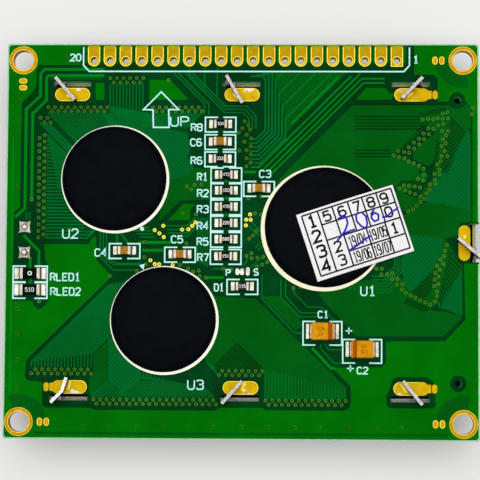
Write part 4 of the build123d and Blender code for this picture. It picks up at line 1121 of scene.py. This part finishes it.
def paintChip(node, body, capLength):
    # Body colour in the middle, tinned ends
    low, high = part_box(node)
    inner = (high.x - low.x) / 2 - capLength * mm
    middle = (high.x + low.x) / 2
    paintFaces(node, [body, chipEnds], lambda face: 0 if abs(face.center.x - middle) < inner else 1)


# Length of the chips' tinned ends, and the start and end of the capacitors' bands from their middles, in mm
chipSettings = {"smallCap": 0.37, "ceramicCap": 0.42, "largeCap": 0.47, "band": (0.85, 1.5)}

for names, body, cap in ((resistors, resistorGlaze, "smallCap"), (ceramics, ceramicBody, "ceramicCap"),
                         (["diode_d1"], diodeBody, "smallCap"), (backlightResistors, resistorGlaze, "largeCap")):
    for name in names:
        paintChip(name, body, chipSettings[cap])
for name, side in tantalums.items():
    start, end = sorted(centreOf(name)[0] + side * reach for reach in chipSettings["band"])
    paintNode(name, bandedTantalum("amber resin " + name[-2:], start * mm, end * mm))
print("CAD nodes finished")


# Digits on the tops of the chips and of the moulded capacitors: words, then size and stroke in mm
digitSettings = {
    "resistors": ("472", "103", "470", "220", "680", "333", "151", "104"),
    "small": (0.46, 0.25, 0.085),
    "others": [("led_resistor_1", "0", (0.5, 0.5, 0.17)), ("led_resistor_2", "510", (0.6, 0.34, 0.1)),
               ("diode_d1", "115", (0.46, 0.25, 0.085))],
    "capacitors": (("106", 0.42), ("16", -0.42)),   # words and their rise
    "moulded": (0.5, 0.3, 0.1),
}


def drawChipDigits(settings):
    bm = bmesh.new()
    chips = [(node, words, settings["small"]) for node, words in zip(resistors, settings["resistors"])]
    for node, words, (height, width, stroke) in chips + settings["others"]:
        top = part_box(node)[1].z - 0.03 * mm
        strokeText(bm, words, centreOf(node), height, width, top - 0.01 * mm, top + 0.012 * mm, stroke)
    newPiece("chip_digits", bm, printedDigits)

    bm = bmesh.new()
    height, width, stroke = settings["moulded"]
    for node, side in tantalums.items():
        x, y = centreOf(node)
        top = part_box(node)[1].z
        for words, rise in settings["capacitors"]:
            strokeText(bm, words, (x - side * 0.3, y + side * rise), height, width, top - 0.01 * mm,
                       top + 0.008 * mm, stroke, turn=0 if side > 0 else 180)
    newPiece("capacitor_digits", bm, burntMarking)


drawChipDigits(digitSettings)
print("digits drawn")


# Floor, light and camera
studioSettings = {
    "floorColour": "#ECECEA",
    "floorSize": 1.2,         # metres, half a side
    "floorDrop": 0.02,        # mm below the object
    "glowColour": "#E4E4E4",  # what the camera sees of the floor besides its colour
    "glowShare": 0.26,
    "skyTop": 0.2,            # light straight from above
    "skySide": 0.35,          # light from low down
    "lamps": [("key lamp", (-0.03, 0.12, 0.62), 0.75, 4.6),   # place, size in metres, watts
              ("fill lamp", (0.5, -0.2, 0.5), 0.5, 0.6)],
    "lens": 142.21,
    "cameraPlace": (8.909, -21.838, 307.83),   # mm
    "cameraForward": (-0.03042, 0.07306, -0.99686),
    "cameraUp": (-0.00364, 0.99731, 0.07321),
}


def paleFloor(settings):
    # Matt studio board; the camera sees it a little lifted, the object's shadow stays
    material = newMaterial("pale studio board")
    rays = addNode(material, "ShaderNodeLightPath")
    seen = addNode(material, "ShaderNodeMath", {"operation": "MAXIMUM"},
                   {0: rays.outputs["Is Camera Ray"], 1: rays.outputs["Is Glossy Ray"]})
    share = addNode(material, "ShaderNodeMath", {"operation": "MULTIPLY", 1: settings["glowShare"]},
                    {0: seen.outputs["Value"]})
    board = addNode(material, "ShaderNodeBsdfDiffuse", {"Color": linearColour(settings["floorColour"])})
    glow = addNode(material, "ShaderNodeEmission", {"Color": linearColour(settings["glowColour"]), "Strength": 1.0})
    mixed = addNode(material, "ShaderNodeMixShader", {}, {"Fac": share.outputs["Value"],
                    1: board.outputs["BSDF"], 2: glow.outputs["Emission"]})
    addNode(material, "ShaderNodeOutputMaterial", {}, {"Surface": mixed.outputs["Shader"]})
    bm = bmesh.new()
    bmesh.ops.create_grid(bm, x_segments=1, y_segments=1, size=settings["floorSize"])
    mesh = bpy.data.meshes.new("floor")
    bm.to_mesh(mesh)
    bm.free()
    mesh.materials.append(material)
    floor = bpy.data.objects.new("floor", mesh)
    floor.location.z = -settings["floorDrop"] * mm
    bpy.context.scene.collection.objects.link(floor)


def skyDome(settings):
    # Even studio light, brighter from the sides than from above
    world = bpy.data.worlds.new("studio")
    bpy.context.scene.world = world
    world.use_nodes = True
    world.node_tree.nodes.clear()
    place = addNode(world, "ShaderNodeTexCoord")
    up = addNode(world, "ShaderNodeSeparateXYZ", {}, {"Vector": place.outputs["Generated"]}).outputs["Z"]
    level = addNode(world, "ShaderNodeMapRange", {"From Min": 0.35, "From Max": 0.95,
                    "To Min": settings["skySide"], "To Max": settings["skyTop"]}, {"Value": up})
    back = addNode(world, "ShaderNodeBackground", {}, {"Strength": level.outputs["Result"]})
    addNode(world, "ShaderNodeOutputWorld", {}, {"Surface": back.outputs["Background"]})


def softLamp(name, place, size, power):
    lamp = bpy.data.lights.new(name, "AREA")
    lamp.shape = "SQUARE"
    lamp.size = size
    lamp.energy = power
    holder = bpy.data.objects.new(name, lamp)
    holder.location = place
    holder.rotation_euler = (-Vector(place)).to_track_quat("-Z", "Y").to_euler()
    bpy.context.scene.collection.objects.link(holder)


def placeCamera(settings):
    # Nearly straight above, as the photograph was taken
    camera = bpy.data.cameras.new("camera")
    camera.sensor_width = 36
    camera.lens = settings["lens"]
    camera.clip_start = 0.01
    forward = Vector(settings["cameraForward"]).normalized()
    up = Vector(settings["cameraUp"]).normalized()
    right = forward.cross(up).normalized()
    up = right.cross(forward)
    turn = Matrix((right, up, -forward)).transposed().to_4x4()
    holder = bpy.data.objects.new("camera", camera)
    holder.matrix_world = Matrix.Translation([part * mm for part in settings["cameraPlace"]]) @ turn
    bpy.context.scene.collection.objects.link(holder)
    bpy.context.scene.camera = holder


paleFloor(studioSettings)
skyDome(studioSettings)
for lamp in studioSettings["lamps"]:
    softLamp(*lamp)
placeCamera(studioSettings)
bpy.context.scene.view_settings.view_transform = "Standard"
print("stage set")
